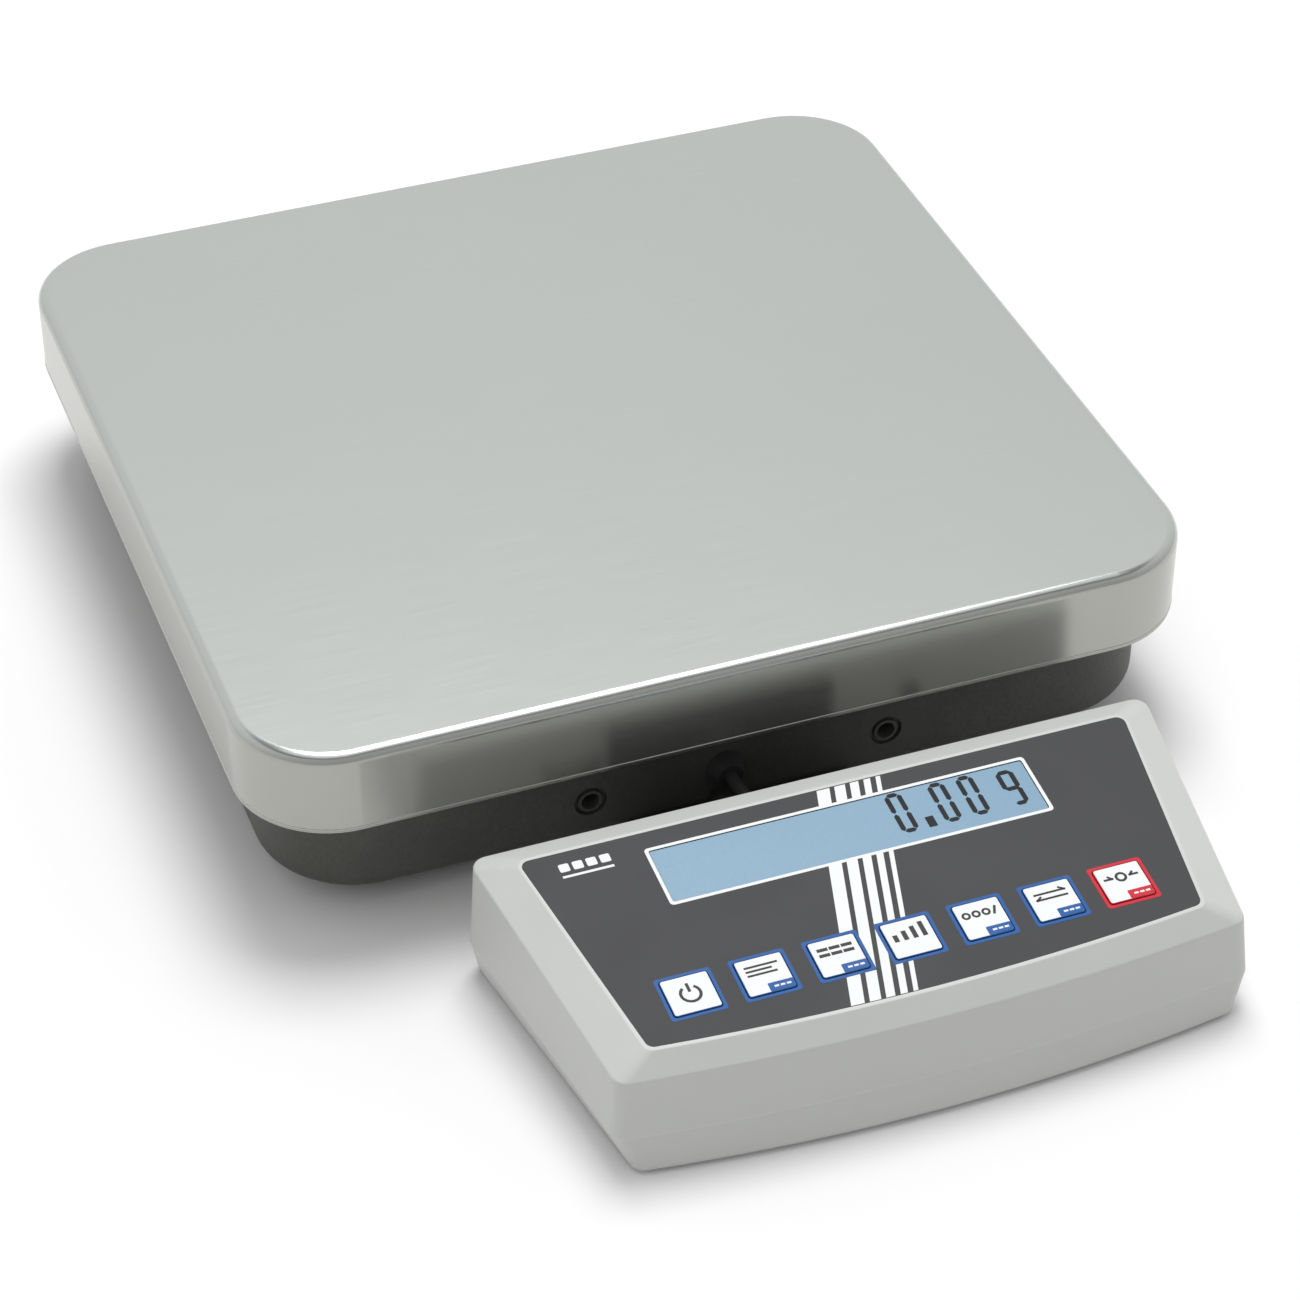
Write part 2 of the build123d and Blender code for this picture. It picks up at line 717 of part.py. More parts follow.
def foil_plan(gap, sink):
    """Outline of the keypad foil."""
    return head_outline(panel.offset(-sink), 99.3 + gap, 39.4 + gap,
                        87.4 + gap, -40.2 - gap, -44.8 - gap, 2.8)


case_screw_spots = [(head_x + side * 95, head_rear - 11.5) for side in (1, -1)]
case_screw_spots += [(head_x + side * 86, head_front + 23) for side in (1, -1)]
case_screw = 1.5             # radius of the screws that hold the shells together
board_stand_off = 8.7        # from the panel down to the front board
front_board_holes = [(-82, 27), (82, 27), (-82, -6), (82, -6)]
port_x = -50.0
jack_x = 66.0
port_z = 21.4


def edges_on(plane, piece):
    """The piece's edges that lie in a plane."""
    def lies_in(edge):
        return all(abs(plane.to_local_coords(edge @ at).Z) < 0.01 for at in (0, 0.5, 1))
    return piece.edges().filter_by(lies_in)


with BuildPart() as head_upper_shell:
    loft(sections=[split_plan(0, head_split), rim_plan(0, 0)])
    loft(sections=[rim_plan(0, 0), panel_plan(0, 0)])
    fillet(edges_on(panel.offset(-panel_drop), head_upper_shell), rim_radius)
    fillet(edges_on(panel, head_upper_shell), rim_radius / 2)
    loft(sections=[split_plan(head_wall, head_split), rim_plan(head_wall, 0.6)], mode=Mode.SUBTRACT)
    loft(sections=[rim_plan(head_wall, 0.6), panel_plan(head_wall - 1, head_wall)], mode=Mode.SUBTRACT)
    # case screw bosses hang from the roof, the board bosses stand square to the panel
    with BuildSketch(Plane.XY.offset(head_split)):
        with Locations(*case_screw_spots):
            Circle(4)
    extrude(until=Until.NEXT)
    with BuildSketch(panel.offset(-board_stand_off)):
        with Locations(*front_board_holes):
            Circle(3)
    extrude(until=Until.NEXT)
    with BuildSketch(Plane.XZ.offset(-(head_rear - 1))):
        with Locations(*bracket_head_spots):
            Circle(4)
    extrude(amount=6)
    # recess for the foil, window and key openings
    extrude(foil_plan(0.1, foil_recess), amount=foil_recess + 1, dir=panel.z_dir, mode=Mode.SUBTRACT)
    with BuildSketch(panel.offset(-head_wall - 0.5)):
        with Locations((0, window_y)):
            Rectangle(window_width - 3, window_depth - 2.6)
        with Locations(*[(x, key_line) for x in key_xs]):
            RectangleRounded(key_opening_width, key_opening_depth, 1.2)
    extrude(amount=head_wall + 1, mode=Mode.SUBTRACT)
    # screw holes
    with BuildSketch(Plane.XY.offset(head_split)):
        with Locations(*case_screw_spots):
            Circle(case_screw)
    extrude(amount=9, mode=Mode.SUBTRACT)
    with BuildSketch(panel.offset(-board_stand_off)):
        with Locations(*front_board_holes):
            Circle(board_screw)
    extrude(amount=5, mode=Mode.SUBTRACT)
    # rear openings: gland, bracket screws, serial port, power socket
    with BuildSketch(Plane.XZ.offset(-head_rear)):
        with Locations((lead_head_x, lead_head_z)):
            Circle(gland_hole)
        with Locations((port_x, port_z)):
            RectangleRounded(19, 10.6, 2.5)
        with Locations((jack_x, port_z)):
            Circle(4.2)
    extrude(amount=head_wall, mode=Mode.SUBTRACT)
    with BuildSketch(Plane.XZ.offset(-head_rear)):
        with Locations(*bracket_head_spots):
            Circle(bracket_thread / 2)
    extrude(amount=6, mode=Mode.SUBTRACT)
save(head_upper_shell, "head_upper_shell")

head_floor = head_bottom + head_wall
interface_seat = 14.0
interface_x = 3.0
interface_y = head_rear - 38.5
interface_holes = [(interface_x + sx * 70, interface_y + sy * 29) for sx, sy in corners]
head_foot_spots = [(head_x + side * 76, head_rear - 13.5) for side in (1, -1)]
head_foot_spots += [(head_x + side * 66, head_front + 21) for side in (1, -1)]
head_foot_radius = 6.0
head_foot_recess = 0.8
case_screw_recess = 4.0
with BuildPart() as head_lower_shell:
    loft(sections=[bottom_plan(0, head_bottom), split_plan(0, head_split)])
    fillet(head_lower_shell.faces().sort_by(Axis.Z)[0].edges(), 1.5)
    loft(sections=[bottom_plan(head_wall, head_floor), split_plan(head_wall, head_split)], mode=Mode.SUBTRACT)
    with BuildSketch(Plane.XY.offset(head_floor)):
        with Locations(*case_screw_spots):
            Circle(4.5)
    extrude(amount=head_split - head_floor)
    with BuildSketch(Plane.XY.offset(head_floor)):
        with Locations(*interface_holes):
            Circle(board_boss)
    extrude(amount=interface_seat - head_floor)
    with BuildSketch(Plane.XY.offset(head_bottom)):
        with Locations(*case_screw_spots):
            Circle(case_screw + 0.1)
    extrude(amount=head_split, mode=Mode.SUBTRACT)
    with BuildSketch(Plane.XY.offset(head_bottom)):
        with Locations(*case_screw_spots):
            Circle(3.2)
    extrude(amount=case_screw_recess, mode=Mode.SUBTRACT)
    with BuildSketch(Plane.XY.offset(head_bottom)):
        with Locations(*head_foot_spots):
            Circle(head_foot_radius)
    extrude(amount=head_foot_recess, mode=Mode.SUBTRACT)
    with BuildSketch(Plane.XY.offset(interface_seat)):
        with Locations(*interface_holes):
            Circle(board_screw)
    extrude(amount=-7, mode=Mode.SUBTRACT)
save(head_lower_shell, "head_lower_shell")

case_screws = socket_screw(case_screw_spots, head_bottom + case_screw_recess, 2 * case_screw, 14.0, down=False)
save(case_screws, "case_screws")

with BuildPart() as head_feet:
    with BuildSketch():
        with Locations(*head_foot_spots):
            Circle(head_foot_radius)
    extrude(amount=head_bottom + head_foot_recess)
save(head_feet, "head_feet")

# ---------------------------------------------------------------- panel: foil, window, keys
with BuildPart() as keypad_foil:
    extrude(foil_plan(0, foil_recess), amount=foil, dir=panel.z_dir)
    with BuildSketch(panel.offset(-foil_recess)):
        with Locations((0, window_y)):
            RectangleRounded(window_width, window_depth, 0.8)
        with Locations(*[(x, key_line) for x in key_xs]):
            RectangleRounded(key_opening_width, key_opening_depth, 1.2)
    extrude(amount=foil, mode=Mode.SUBTRACT)
save(keypad_foil, "keypad_foil")

with BuildPart() as display_window:
    with BuildSketch(panel.offset(-foil_recess)):
        with Locations((0, window_y)):
            RectangleRounded(window_width, window_depth, 0.8)
    extrude(amount=foil)
save(display_window, "display_window")

key_proud = 0.3              # the keys stand this far above the panel
key_flange = head_wall + 0.05
key_rim = 1.0                # thickness of the flange that keeps a key under the panel
key_rim_reach = 1.2
for number, x in enumerate(key_xs, start=1):
    with BuildPart() as key:
        with BuildSketch(panel.offset(-key_flange)):
            with Locations((x, key_line)):
                RectangleRounded(key_width, key_depth, 1)
        extrude(amount=key_flange + key_proud)
        fillet(key.faces().sort_by(Axis(panel.origin, panel.z_dir))[-1].edges(), 0.25)
        with BuildSketch(panel.offset(-key_flange)):
            with Locations((x, key_line)):
                RectangleRounded(key_width + 2 * key_rim_reach, key_depth + 2 * key_rim_reach, 1.2)
        extrude(amount=-key_rim)
    save(key, "key_" + str(number))

# ---------------------------------------------------------------- display
display_top = head_wall + 0.1
display_width = 126.0        # the glass and what lies behind it
display_depth = 24.0
display_rim = 3.0            # wall of the frame round the glass
display_lip = 0.6            # thickness of the frame's front lip
glass = 2.6
backlight = 1.8
display_height = display_lip + glass + backlight
with BuildPart() as display_frame:
    with BuildSketch(panel.offset(-display_top - display_height)):
        with Locations((0, window_y)):
            RectangleRounded(display_width + 2 * display_rim, display_depth + 2 * display_rim, 1.5)
            Rectangle(display_width, display_depth, mode=Mode.SUBTRACT)
    extrude(amount=display_height)
    with BuildSketch(panel.offset(-display_top - display_lip)):
        with Locations((0, window_y)):
            Rectangle(display_width + display_rim, display_depth + display_rim)
            Rectangle(window_width - 4, window_depth - 3.6, mode=Mode.SUBTRACT)
    extrude(amount=display_lip)
save(display_frame, "display_frame")

with BuildPart() as display_glass:
    with BuildSketch(panel.offset(-display_top - display_lip - glass)):
        with Locations((0, window_y)):
            Rectangle(display_width, display_depth)
    extrude(amount=glass)
save(display_glass, "display_glass")

with BuildPart() as display_backlight:
    with BuildSketch(panel.offset(-display_top - display_height)):
        with Locations((0, window_y)):
            Rectangle(display_width, display_depth)
    extrude(amount=backlight)
save(display_backlight, "display_backlight")

# ---------------------------------------------------------------- front board and switches
front_board_under = board_stand_off + board
board_screw_clearance = 1.4
switch_height = 3.4
with BuildPart() as front_board:
    with BuildSketch(panel.offset(-front_board_under)):
        with Locations((0, 1)):
            Rectangle(176, 70)
        with Locations(*front_board_holes):
            Circle(board_screw_clearance, mode=Mode.SUBTRACT)
    extrude(amount=board)
    with BuildSketch(panel.offset(-board_stand_off)):
        with Locations((0, window_y)):
            Rectangle(display_width, display_depth)
    extrude(amount=board_stand_off - display_top - display_height)
save(front_board, "front_board")

with BuildPart() as front_board_screws:
    with BuildSketch(panel.offset(-front_board_under)):
        with Locations(*front_board_holes):
            Circle(2.3)
    extrude(amount=-1.8)
    with BuildSketch(panel.offset(-front_board_under)):
        with Locations(*front_board_holes):
            Circle(board_screw)
    extrude(amount=board + 4.5)
save(front_board_screws, "front_board_screws")

with BuildPart() as key_switches:
    with BuildSketch(panel.offset(-board_stand_off)):
        with Locations(*[(x, key_line) for x in key_xs]):
            RectangleRounded(6, 6, 0.4)
    extrude(amount=switch_height)
    with BuildSketch(panel.offset(-board_stand_off + switch_height)):
        with Locations(*[(x, key_line) for x in key_xs]):
            Circle(1.7)
    extrude(amount=board_stand_off - switch_height - key_flange - key_rim - key_travel - 0.1)
save(key_switches, "key_switches")

# ---------------------------------------------------------------- interface board and ports
port_reach = 3.0             # the serial port's shell stands this far out of the rear wall
port_flange = 1.0
port_pin_pitch = 2.76
port_row = 1.4               # each row of pins, from the port's middle line
jack_bore = 2.75
jack_bore_depth = 9.5
jack_pin = 1.05
interface_top = interface_seat + board
interface_rear = head_rear - head_wall - gland_flange
with BuildPart() as interface_board:
    with BuildSketch(Plane.XY.offset(interface_seat)):
        with Locations((interface_x, interface_y)):
            Rectangle(148, 66)
        with Locations(*interface_holes):
            Circle(board_screw_clearance, mode=Mode.SUBTRACT)
    extrude(amount=board)
    with BuildSketch(Plane.XY.offset(interface_top)):
        with Locations((interface_x - 30, interface_y - 8)):
            Rectangle(14, 14)
        with Locations((interface_x + 46, interface_y - 12), (interface_x + 60, interface_y - 12)):
            Circle(5)
    extrude(amount=2.4)
save(interface_board, "interface_board")

interface_screws = socket_screw(interface_holes, interface_top, 2 * board_screw, 7.5)
save(interface_screws, "interface_screws")

with BuildPart() as lead_plug:
    with BuildSketch(Plane.XY.offset(interface_top)):
        with Locations((lead_head_x, interface_rear - 5)):
            Rectangle(10, 10)
    extrude(amount=7.5)
save(lead_plug, "lead_plug")

with BuildPart() as serial_port:
    with BuildSketch(Plane.XZ.offset(-(head_rear - head_wall))):
        with Locations((port_x, port_z)):
            RectangleRounded(30.8, 11.6, 1.5)
    extrude(amount=port_flange)
    with BuildSketch(Plane.XZ.offset(-(head_rear + port_reach))):
        with Locations((port_x, port_z)):
            RectangleRounded(17, 8.6, 2.2)
    extrude(amount=head_wall + port_reach)
    with BuildSketch(Plane.XZ.offset(-(head_rear - head_wall - port_flange))):
        with Locations((port_x, port_z)):
            Rectangle(26, 2 * (port_z - interface_top))
    extrude(amount=9)
    with BuildSketch(Plane.XZ.offset(-(head_rear + port_reach))):
        for row_z, pins in ((port_z + port_row, 5), (port_z - port_row, 4)):
            with Locations((port_x, row_z)):
                with GridLocations(port_pin_pitch, 1, pins, 1):
                    Circle(0.6)
    extrude(amount=6, mode=Mode.SUBTRACT)
save(serial_port, "serial_port")

with BuildPart() as power_socket:
    with BuildSketch(Plane.XZ.offset(-(head_rear - head_wall))):
        with Locations((jack_x, port_z)):
            Rectangle(9.6, 2 * (port_z - interface_top))
    extrude(amount=12)
    with BuildSketch(Plane.XZ.offset(-head_rear)):
        with Locations((jack_x, port_z)):
            Circle(4)
    extrude(amount=head_wall)
    with BuildSketch(Plane.XZ.offset(-head_rear)):
        with Locations((jack_x, port_z)):
            Circle(jack_bore)
    extrude(amount=jack_bore_depth, mode=Mode.SUBTRACT)
    with BuildSketch(Plane.XZ.offset(-(head_rear - 1.5))):
        with Locations((jack_x, port_z)):
            Circle(jack_pin)
    extrude(amount=jack_bore_depth - 1.5)
save(power_socket, "power_socket")

# ---------------------------------------------------------------- ribbon between the boards
with BuildPart() as board_ribbon:
    with BuildSketch(Plane.YZ.offset(interface_x + 8)):
        with BuildLine():
            Polyline(
                (-170, interface_top),
                (-168, interface_top),
                (-162, 24),
                (-164, 30.2),
                (-166, 30),
                (-164, 24),
                (-170, interface_top),
            )
        make_face()
    extrude(amount=26)
save(board_ribbon, "board_ribbon")
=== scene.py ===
import json
import math

import bmesh
import bpy
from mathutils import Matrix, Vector

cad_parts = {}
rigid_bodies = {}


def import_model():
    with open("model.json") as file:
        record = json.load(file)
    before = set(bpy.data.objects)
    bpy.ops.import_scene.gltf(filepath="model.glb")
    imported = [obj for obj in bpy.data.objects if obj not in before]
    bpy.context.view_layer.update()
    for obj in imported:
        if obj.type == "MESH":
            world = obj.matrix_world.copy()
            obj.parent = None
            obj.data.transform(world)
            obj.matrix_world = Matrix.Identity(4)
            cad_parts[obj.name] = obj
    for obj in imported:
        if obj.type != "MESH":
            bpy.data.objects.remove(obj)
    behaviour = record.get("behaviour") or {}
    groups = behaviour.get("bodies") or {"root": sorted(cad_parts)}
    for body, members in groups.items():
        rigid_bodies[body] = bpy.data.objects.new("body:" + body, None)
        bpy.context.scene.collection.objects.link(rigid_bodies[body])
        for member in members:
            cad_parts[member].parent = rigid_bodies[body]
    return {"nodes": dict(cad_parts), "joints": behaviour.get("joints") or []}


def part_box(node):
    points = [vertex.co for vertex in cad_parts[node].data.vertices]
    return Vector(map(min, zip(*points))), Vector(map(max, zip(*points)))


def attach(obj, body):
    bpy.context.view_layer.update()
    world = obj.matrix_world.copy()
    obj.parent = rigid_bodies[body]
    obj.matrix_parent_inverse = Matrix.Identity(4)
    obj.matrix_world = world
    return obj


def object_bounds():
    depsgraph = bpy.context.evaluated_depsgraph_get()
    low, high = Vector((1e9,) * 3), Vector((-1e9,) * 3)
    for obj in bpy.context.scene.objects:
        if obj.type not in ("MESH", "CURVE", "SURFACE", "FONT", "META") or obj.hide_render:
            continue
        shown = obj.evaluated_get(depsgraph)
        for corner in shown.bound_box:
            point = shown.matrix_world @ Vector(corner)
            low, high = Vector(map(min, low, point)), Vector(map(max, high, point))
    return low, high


# Looks of a counting scale: a steel weighing platform with a display head in front of it.
# Everything is in metres in the frame of the CAD model. Sizes of printed detail are in
# millimetres and are turned into metres where the meshes are made.

for leftover in list(bpy.data.objects):
    bpy.data.objects.remove(leftover)

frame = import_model()
cad_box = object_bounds()
nodes = frame["nodes"]
MM = 0.001


# ---------------------------------------------------------------- places taken from the frame
def axis_of(joint_name):
    """The unit axis of one of the record's joints."""
    found = [joint for joint in frame["joints"] if joint["name"] == joint_name]
    return Vector(found[0]["axis"]).normalized()


def span(cad_node, direction):
    """How far a CAD node reaches along a direction: lowest and highest."""
    along = [vertex.co.dot(direction) for vertex in nodes[cad_node].data.vertices]
    return min(along), max(along)


def middle(cad_node, direction):
    """Half way between a CAD node's lowest and highest place along a direction."""
    low, high = span(cad_node, direction)
    return (low + high) / 2


# The panel's own frame: x to the right, y up the slope to the back, h out of the foil.
# A key is pressed against h, and the key row lies KEY_LINE from the panel's middle.
KEY_COUNT = 7
KEY_LINE = -25.2
RIGHT = Vector((1, 0, 0))
OUT = -axis_of("key_1_press")
UP = OUT.cross(RIGHT)
PANEL = (
    RIGHT * middle("key_4", RIGHT)
    + UP * (middle("key_4", UP) - KEY_LINE * MM)
    + OUT * span("keypad_foil", OUT)[1]
)


def on_panel(x, y, h):
    """A point of the panel's frame, in metres of the row frame."""
    return PANEL + (RIGHT * x + UP * y + OUT * h) * MM


def from_panel(place_along, direction):
    """A place along one of the panel's directions, in millimetres from the panel's middle."""
    return (place_along - PANEL.dot(direction)) / MM


def key_middle(number):
    """Where a key's middle lies along the panel, in millimetres."""
    return from_panel(middle("key_" + str(number), RIGHT), RIGHT)


def height_of(cad_node):
    """Height of a node's top over the foil, in millimetres."""
    return from_panel(span(cad_node, OUT)[1], OUT)


# ---------------------------------------------------------------- node materials
def start_material(name):
    """An empty node material with its output."""
    material = bpy.data.materials.new(name)
    material.use_nodes = True
    tree = material.node_tree
    tree.nodes.clear()
    output = tree.nodes.new("ShaderNodeOutputMaterial")
    return material, tree, output


def node(tree, kind, inputs=None, **settings):
    """A node with its settings and its input values or links."""
    made = tree.nodes.new(kind)
    for key, value in settings.items():
        setattr(made, key, value)
    for key, value in (inputs or {}).items():
        if isinstance(value, bpy.types.NodeSocket):
            tree.links.new(value, made.inputs[key])
        else:
            made.inputs[key].default_value = value
    return made


def principled(tree, output, inputs):
    """The surface's shader, joined to the material's output."""
    surface = node(tree, "ShaderNodeBsdfPrincipled", inputs)
    tree.links.new(surface.outputs["BSDF"], output.inputs["Surface"])


def place(tree, scale):
    """Object coordinates, stretched by a scale along each axis."""
    coordinates = node(tree, "ShaderNodeTexCoord")
    mapping = node(tree, "ShaderNodeMapping", {"Vector": coordinates.outputs["Object"], "Scale": scale})
    return mapping.outputs["Vector"]


def noise(tree, scale, detail=3.0, rough=0.55, stretch=(1, 1, 1)):
    """Noise with so many cells to the metre."""
    found = node(
        tree,
        "ShaderNodeTexNoise",
        {"Vector": place(tree, stretch), "Scale": scale, "Detail": detail, "Roughness": rough},
    )
    return found.outputs["Fac"]


def between(tree, factor, low, high, start=0.3, end=0.7):
    """A value that goes from low to high as the factor goes from start to end."""
    ranged = node(
        tree,
        "ShaderNodeMapRange",
        {"Value": factor, "From Min": start, "From Max": end, "To Min": low, "To Max": high},
    )
    return ranged.outputs["Result"]


def blend_colour(tree, factor, first, second):
    """A colour between two colours or sockets, by a factor that is a socket."""
    mixed = node(tree, "ShaderNodeMix", data_type="RGBA")
    for key, value in (("Factor", factor), ("A", first), ("B", second)):
        socket = [s for s in mixed.inputs if s.name == key and s.enabled][0]
        if isinstance(value, bpy.types.NodeSocket):
            tree.links.new(value, socket)
        else:
            socket.default_value = (*value, 1.0)
    return [s for s in mixed.outputs if s.enabled][0]


def edge_mask(tree, radius):
    """1 along the edges of a piece, 0 on its faces."""
    bevel = node(tree, "ShaderNodeBevel", {"Radius": radius}, samples=4)
    geometry = node(tree, "ShaderNodeNewGeometry")
    dot = node(
        tree,
        "ShaderNodeVectorMath",
        {0: bevel.outputs["Normal"], 1: geometry.outputs["Normal"]},
        operation="DOT_PRODUCT",
    )
    return between(tree, dot.outputs["Value"], 1.0, 0.0, 0.86, 0.99)


def shade(colour, factor):
    """A colour made lighter or darker."""
    return tuple(min(1.0, channel * factor) for channel in colour)


def moulded(name, colour, rough=0.45, grain=2200.0, height=0.00003, spread=0.04, edge_lift=0.12, **shader):
    """Moulded or painted surface: fine texture, patchy colour, edges a little lighter.

    grain is cells to the metre, height the texture's depth in metres, spread how far the colour
    varies, edge_lift how much of the lighter edge shows, and shader any more inputs of the shader.
    """
    material, tree, output = start_material(name)
    patches = noise(tree, 28.0, 4.0)
    fine = noise(tree, grain, 2.0, 0.6)
    darker = shade(colour, 1 - spread)
    lighter = shade(colour, 1 + spread)
    tinted = blend_colour(tree, between(tree, patches, 0, 1), darker, lighter)
    speck = shade(colour, 1 - 2 * spread)
    specked = blend_colour(tree, between(tree, fine, 0, 0.5, 0.35, 0.75), tinted, speck)
    # the edges are made a little lighter in the colour, wherever the edge mask finds them
    edges = node(tree, "ShaderNodeMath", {0: edge_mask(tree, 0.0006), 1: edge_lift}, operation="MULTIPLY")
    final = blend_colour(tree, edges.outputs["Value"], specked, shade(colour, 1.5))
    bump = node(tree, "ShaderNodeBump", {"Height": fine, "Distance": height, "Strength": 0.6})
    principled(tree, output, {
        "Base Color": final,
        "Roughness": between(tree, patches, rough - 0.04, rough + 0.05),
        "Normal": bump.outputs["Normal"],
        **shader,
    })
    return material


def metal(name, colour, rough=0.3, grain=900.0, stretch=(1, 1, 1), height=0.00001):
    """Bare or plated metal with a grain that may run one way."""
    material, tree, output = start_material(name)
    patches = noise(tree, 35.0, 4.0)
    fine = noise(tree, grain, 3.0, 0.6, stretch)
    tinted = blend_colour(tree, between(tree, patches, 0, 1), shade(colour, 0.95), shade(colour, 1.05))
    final = blend_colour(tree, between(tree, fine, 0, 0.6), tinted, shade(colour, 0.9))
    bump = node(tree, "ShaderNodeBump", {"Height": fine, "Distance": height, "Strength": 0.5})
    principled(tree, output, {
        "Base Color": final,
        "Metallic": 1.0,
        "Roughness": between(tree, fine, rough - 0.05, rough + 0.08),
        "Normal": bump.outputs["Normal"],
    })
    return material


def brushed_steel(name):
    """Brushed stainless: the grain runs along X on the top and level round the skirt; the skirt carries
    painted shade.
    """
    top_colours = ((0.545, 0.575, 0.56), (0.565, 0.59, 0.57))
    groove_colour = (0.51, 0.535, 0.52)
    # painted shade: the skirt's sheet gets a darker, warmer colour than the top, standing in for the dim
    # reflections it shows
    skirt_painted_shade = (0.41, 0.415, 0.385)
    material, tree, output = start_material(name)
    geometry = node(tree, "ShaderNodeNewGeometry")
    facing = node(tree, "ShaderNodeSeparateXYZ", {0: geometry.outputs["Normal"]})
    upward = between(tree, facing.outputs["Z"], 0, 1, 0.5, 0.8)
    top_grain = noise(tree, 1.0, 4.0, 0.65, (30, 2600, 2600))
    side_grain = noise(tree, 1.0, 4.0, 0.65, (30, 30, 2600))
    both = node(tree, "ShaderNodeMix", {"Factor": upward, "A": side_grain, "B": top_grain}, data_type="FLOAT")
    grain = both.outputs["Result"]
    cloudy = noise(tree, 9.0, 3.0)
    base = blend_colour(tree, between(tree, cloudy, 0, 1), *top_colours)
    top = blend_colour(tree, between(tree, grain, 0, 0.4, 0.3, 0.8), base, groove_colour)
    # painted shade: faces turning from up to sideways take the darker skirt colour
    sides = between(tree, facing.outputs["Z"], 1, 0, 0.3, 0.9)
    final = blend_colour(tree, sides, top, skirt_painted_shade)
    level = between(tree, upward, 1, 0, 0, 1)
    tangent = node(tree, "ShaderNodeCombineXYZ", {"X": 0.0, "Y": upward, "Z": level})
    bump = node(tree, "ShaderNodeBump", {"Height": grain, "Distance": 0.000004, "Strength": 0.25})
    principled(tree, output, {
        "Base Color": final,
        "Metallic": between(tree, facing.outputs["Z"], 0.84, 1.0, 0.3, 0.9),
        "Roughness": between(tree, grain, 0.18, 0.24),
        "Anisotropic": 0.35,
        "Tangent": tangent.outputs["Vector"],
        "Normal": bump.outputs["Normal"],
    })
    return material


def clear_plastic(name):
    """A thin clear sheet: it lets the light through and shines at a slant."""
    material, tree, output = start_material(name)
    scratches = noise(tree, 1.0, 4.0, 0.6, (60, 900, 900))
    gloss = node(
        tree,
        "ShaderNodeBsdfPrincipled",
        {"Base Color": (0.02, 0.02, 0.02, 1.0), "Roughness": between(tree, scratches, 0.06, 0.12)},
    )
    through = node(tree, "ShaderNodeBsdfTransparent", {"Color": (1.0, 1.0, 1.0, 1.0)})
    slant = node(tree, "ShaderNodeLayerWeight", {"Blend": 0.5})
    steep = node(tree, "ShaderNodeMath", {0: slant.outputs["Facing"], 1: 5.0}, operation="POWER")
    mirror = between(tree, steep.outputs["Value"], 0.015, 0.9, 0, 1)
    layers = {0: mirror, 1: through.outputs["BSDF"], 2: gloss.outputs["BSDF"]}
    mixed = node(tree, "ShaderNodeMixShader", layers)
    tree.links.new(mixed.outputs["Shader"], output.inputs["Surface"])
    return material


def display_face(name):
    """The display's blue cell: a soft cloud under a faint fine weave."""
    material, tree, output = start_material(name)
    cloud = noise(tree, 22.0, 2.0)
    weave = noise(tree, 1.0, 2.0, 0.5, (1800, 1800, 1800))
    base = blend_colour(tree, between(tree, cloud, 0, 1), (0.165, 0.30, 0.42), (0.175, 0.315, 0.435))
    final = blend_colour(tree, between(tree, weave, 0, 0.5), base, (0.15, 0.275, 0.39))
    principled(tree, output, {
        "Base Color": final,
        "Roughness": between(tree, weave, 0.3, 0.45),
        "Emission Color": final,
        "Emission Strength": 0.15,
    })
    return material


def printed_board(name):
    """Green circuit board: copper tracks under the lacquer and tinned pads."""
    material, tree, output = start_material(name)
    cells = node(
        tree,
        "ShaderNodeTexVoronoi",
        {"Vector": place(tree, (1, 1, 1)), "Scale": 260.0},
        distance="MANHATTAN",
        feature="F1",
    )
    tracks = node(
        tree,
        "ShaderNodeTexBrick",
        {
            "Vector": place(tree, (1, 1, 1)),
            "Scale": 160.0,
            "Mortar Size": 0.04,
            "Color1": (0, 0, 0, 1),
            "Color2": (0.1, 0.1, 0.1, 1),
            "Mortar": (1, 1, 1, 1),
        },
    )
    lacquer = blend_colour(tree, tracks.outputs["Color"], (0.012, 0.085, 0.035), (0.03, 0.17, 0.06))
    pads = between(tree, cells.outputs["Distance"], 1, 0, 0.1, 0.14)
    final = blend_colour(tree, pads, lacquer, (0.55, 0.53, 0.5))
    bump = node(tree, "ShaderNodeBump", {"Height": tracks.outputs["Color"], "Distance": 0.00002})
    principled(tree, output, {
        "Base Color": final,
        "Metallic": pads,
        "Roughness": 0.35,
        "Normal": bump.outputs["Normal"],
    })
    return material


def threaded_metal(name, colour, pitch):
    """Plated steel with a thread round its vertical axis, and painted shade in the thread's grooves."""
    material, tree, output = start_material(name)
    turns = node(
        tree,
        "ShaderNodeTexWave",
        {"Vector": place(tree, (1, 1, 1)), "Scale": math.pi / (10 * pitch), "Distortion": 0.0},
        bands_direction="Z",
        wave_profile="SIN",
    )
    fine = noise(tree, 1500.0)
    # painted shade: the thread's grooves are darkened in the colour as well as sunk by the bump
    final = blend_colour(tree, turns.outputs["Fac"], shade(colour, 0.75), colour)
    bump = node(tree, "ShaderNodeBump", {"Height": turns.outputs["Fac"], "Distance": 0.0004})
    principled(tree, output, {
        "Base Color": final,
        "Metallic": 1.0,
        "Roughness": between(tree, fine, 0.25, 0.4),
        "Normal": bump.outputs["Normal"],
    })
    return material


FOIL_GREY = (0.054, 0.055, 0.058)
INK_WHITE = (0.82, 0.84, 0.84)
INK_BLUE = (0.006, 0.095, 0.34)
INK_RED = (0.60, 0.008, 0.025)
INK_DARK = (0.03, 0.026, 0.03)
FOIL_SHEEN = {"Specular IOR Level": 0.22}
DULL = {"Specular IOR Level": 0.25}


def ink(name, colour, spread=0.05):
    """Printed ink: smooth, dull and even."""
    return moulded(name, colour, rough=0.45, grain=2600.0, height=0.000008, spread=spread, edge_lift=0.0, **DULL)


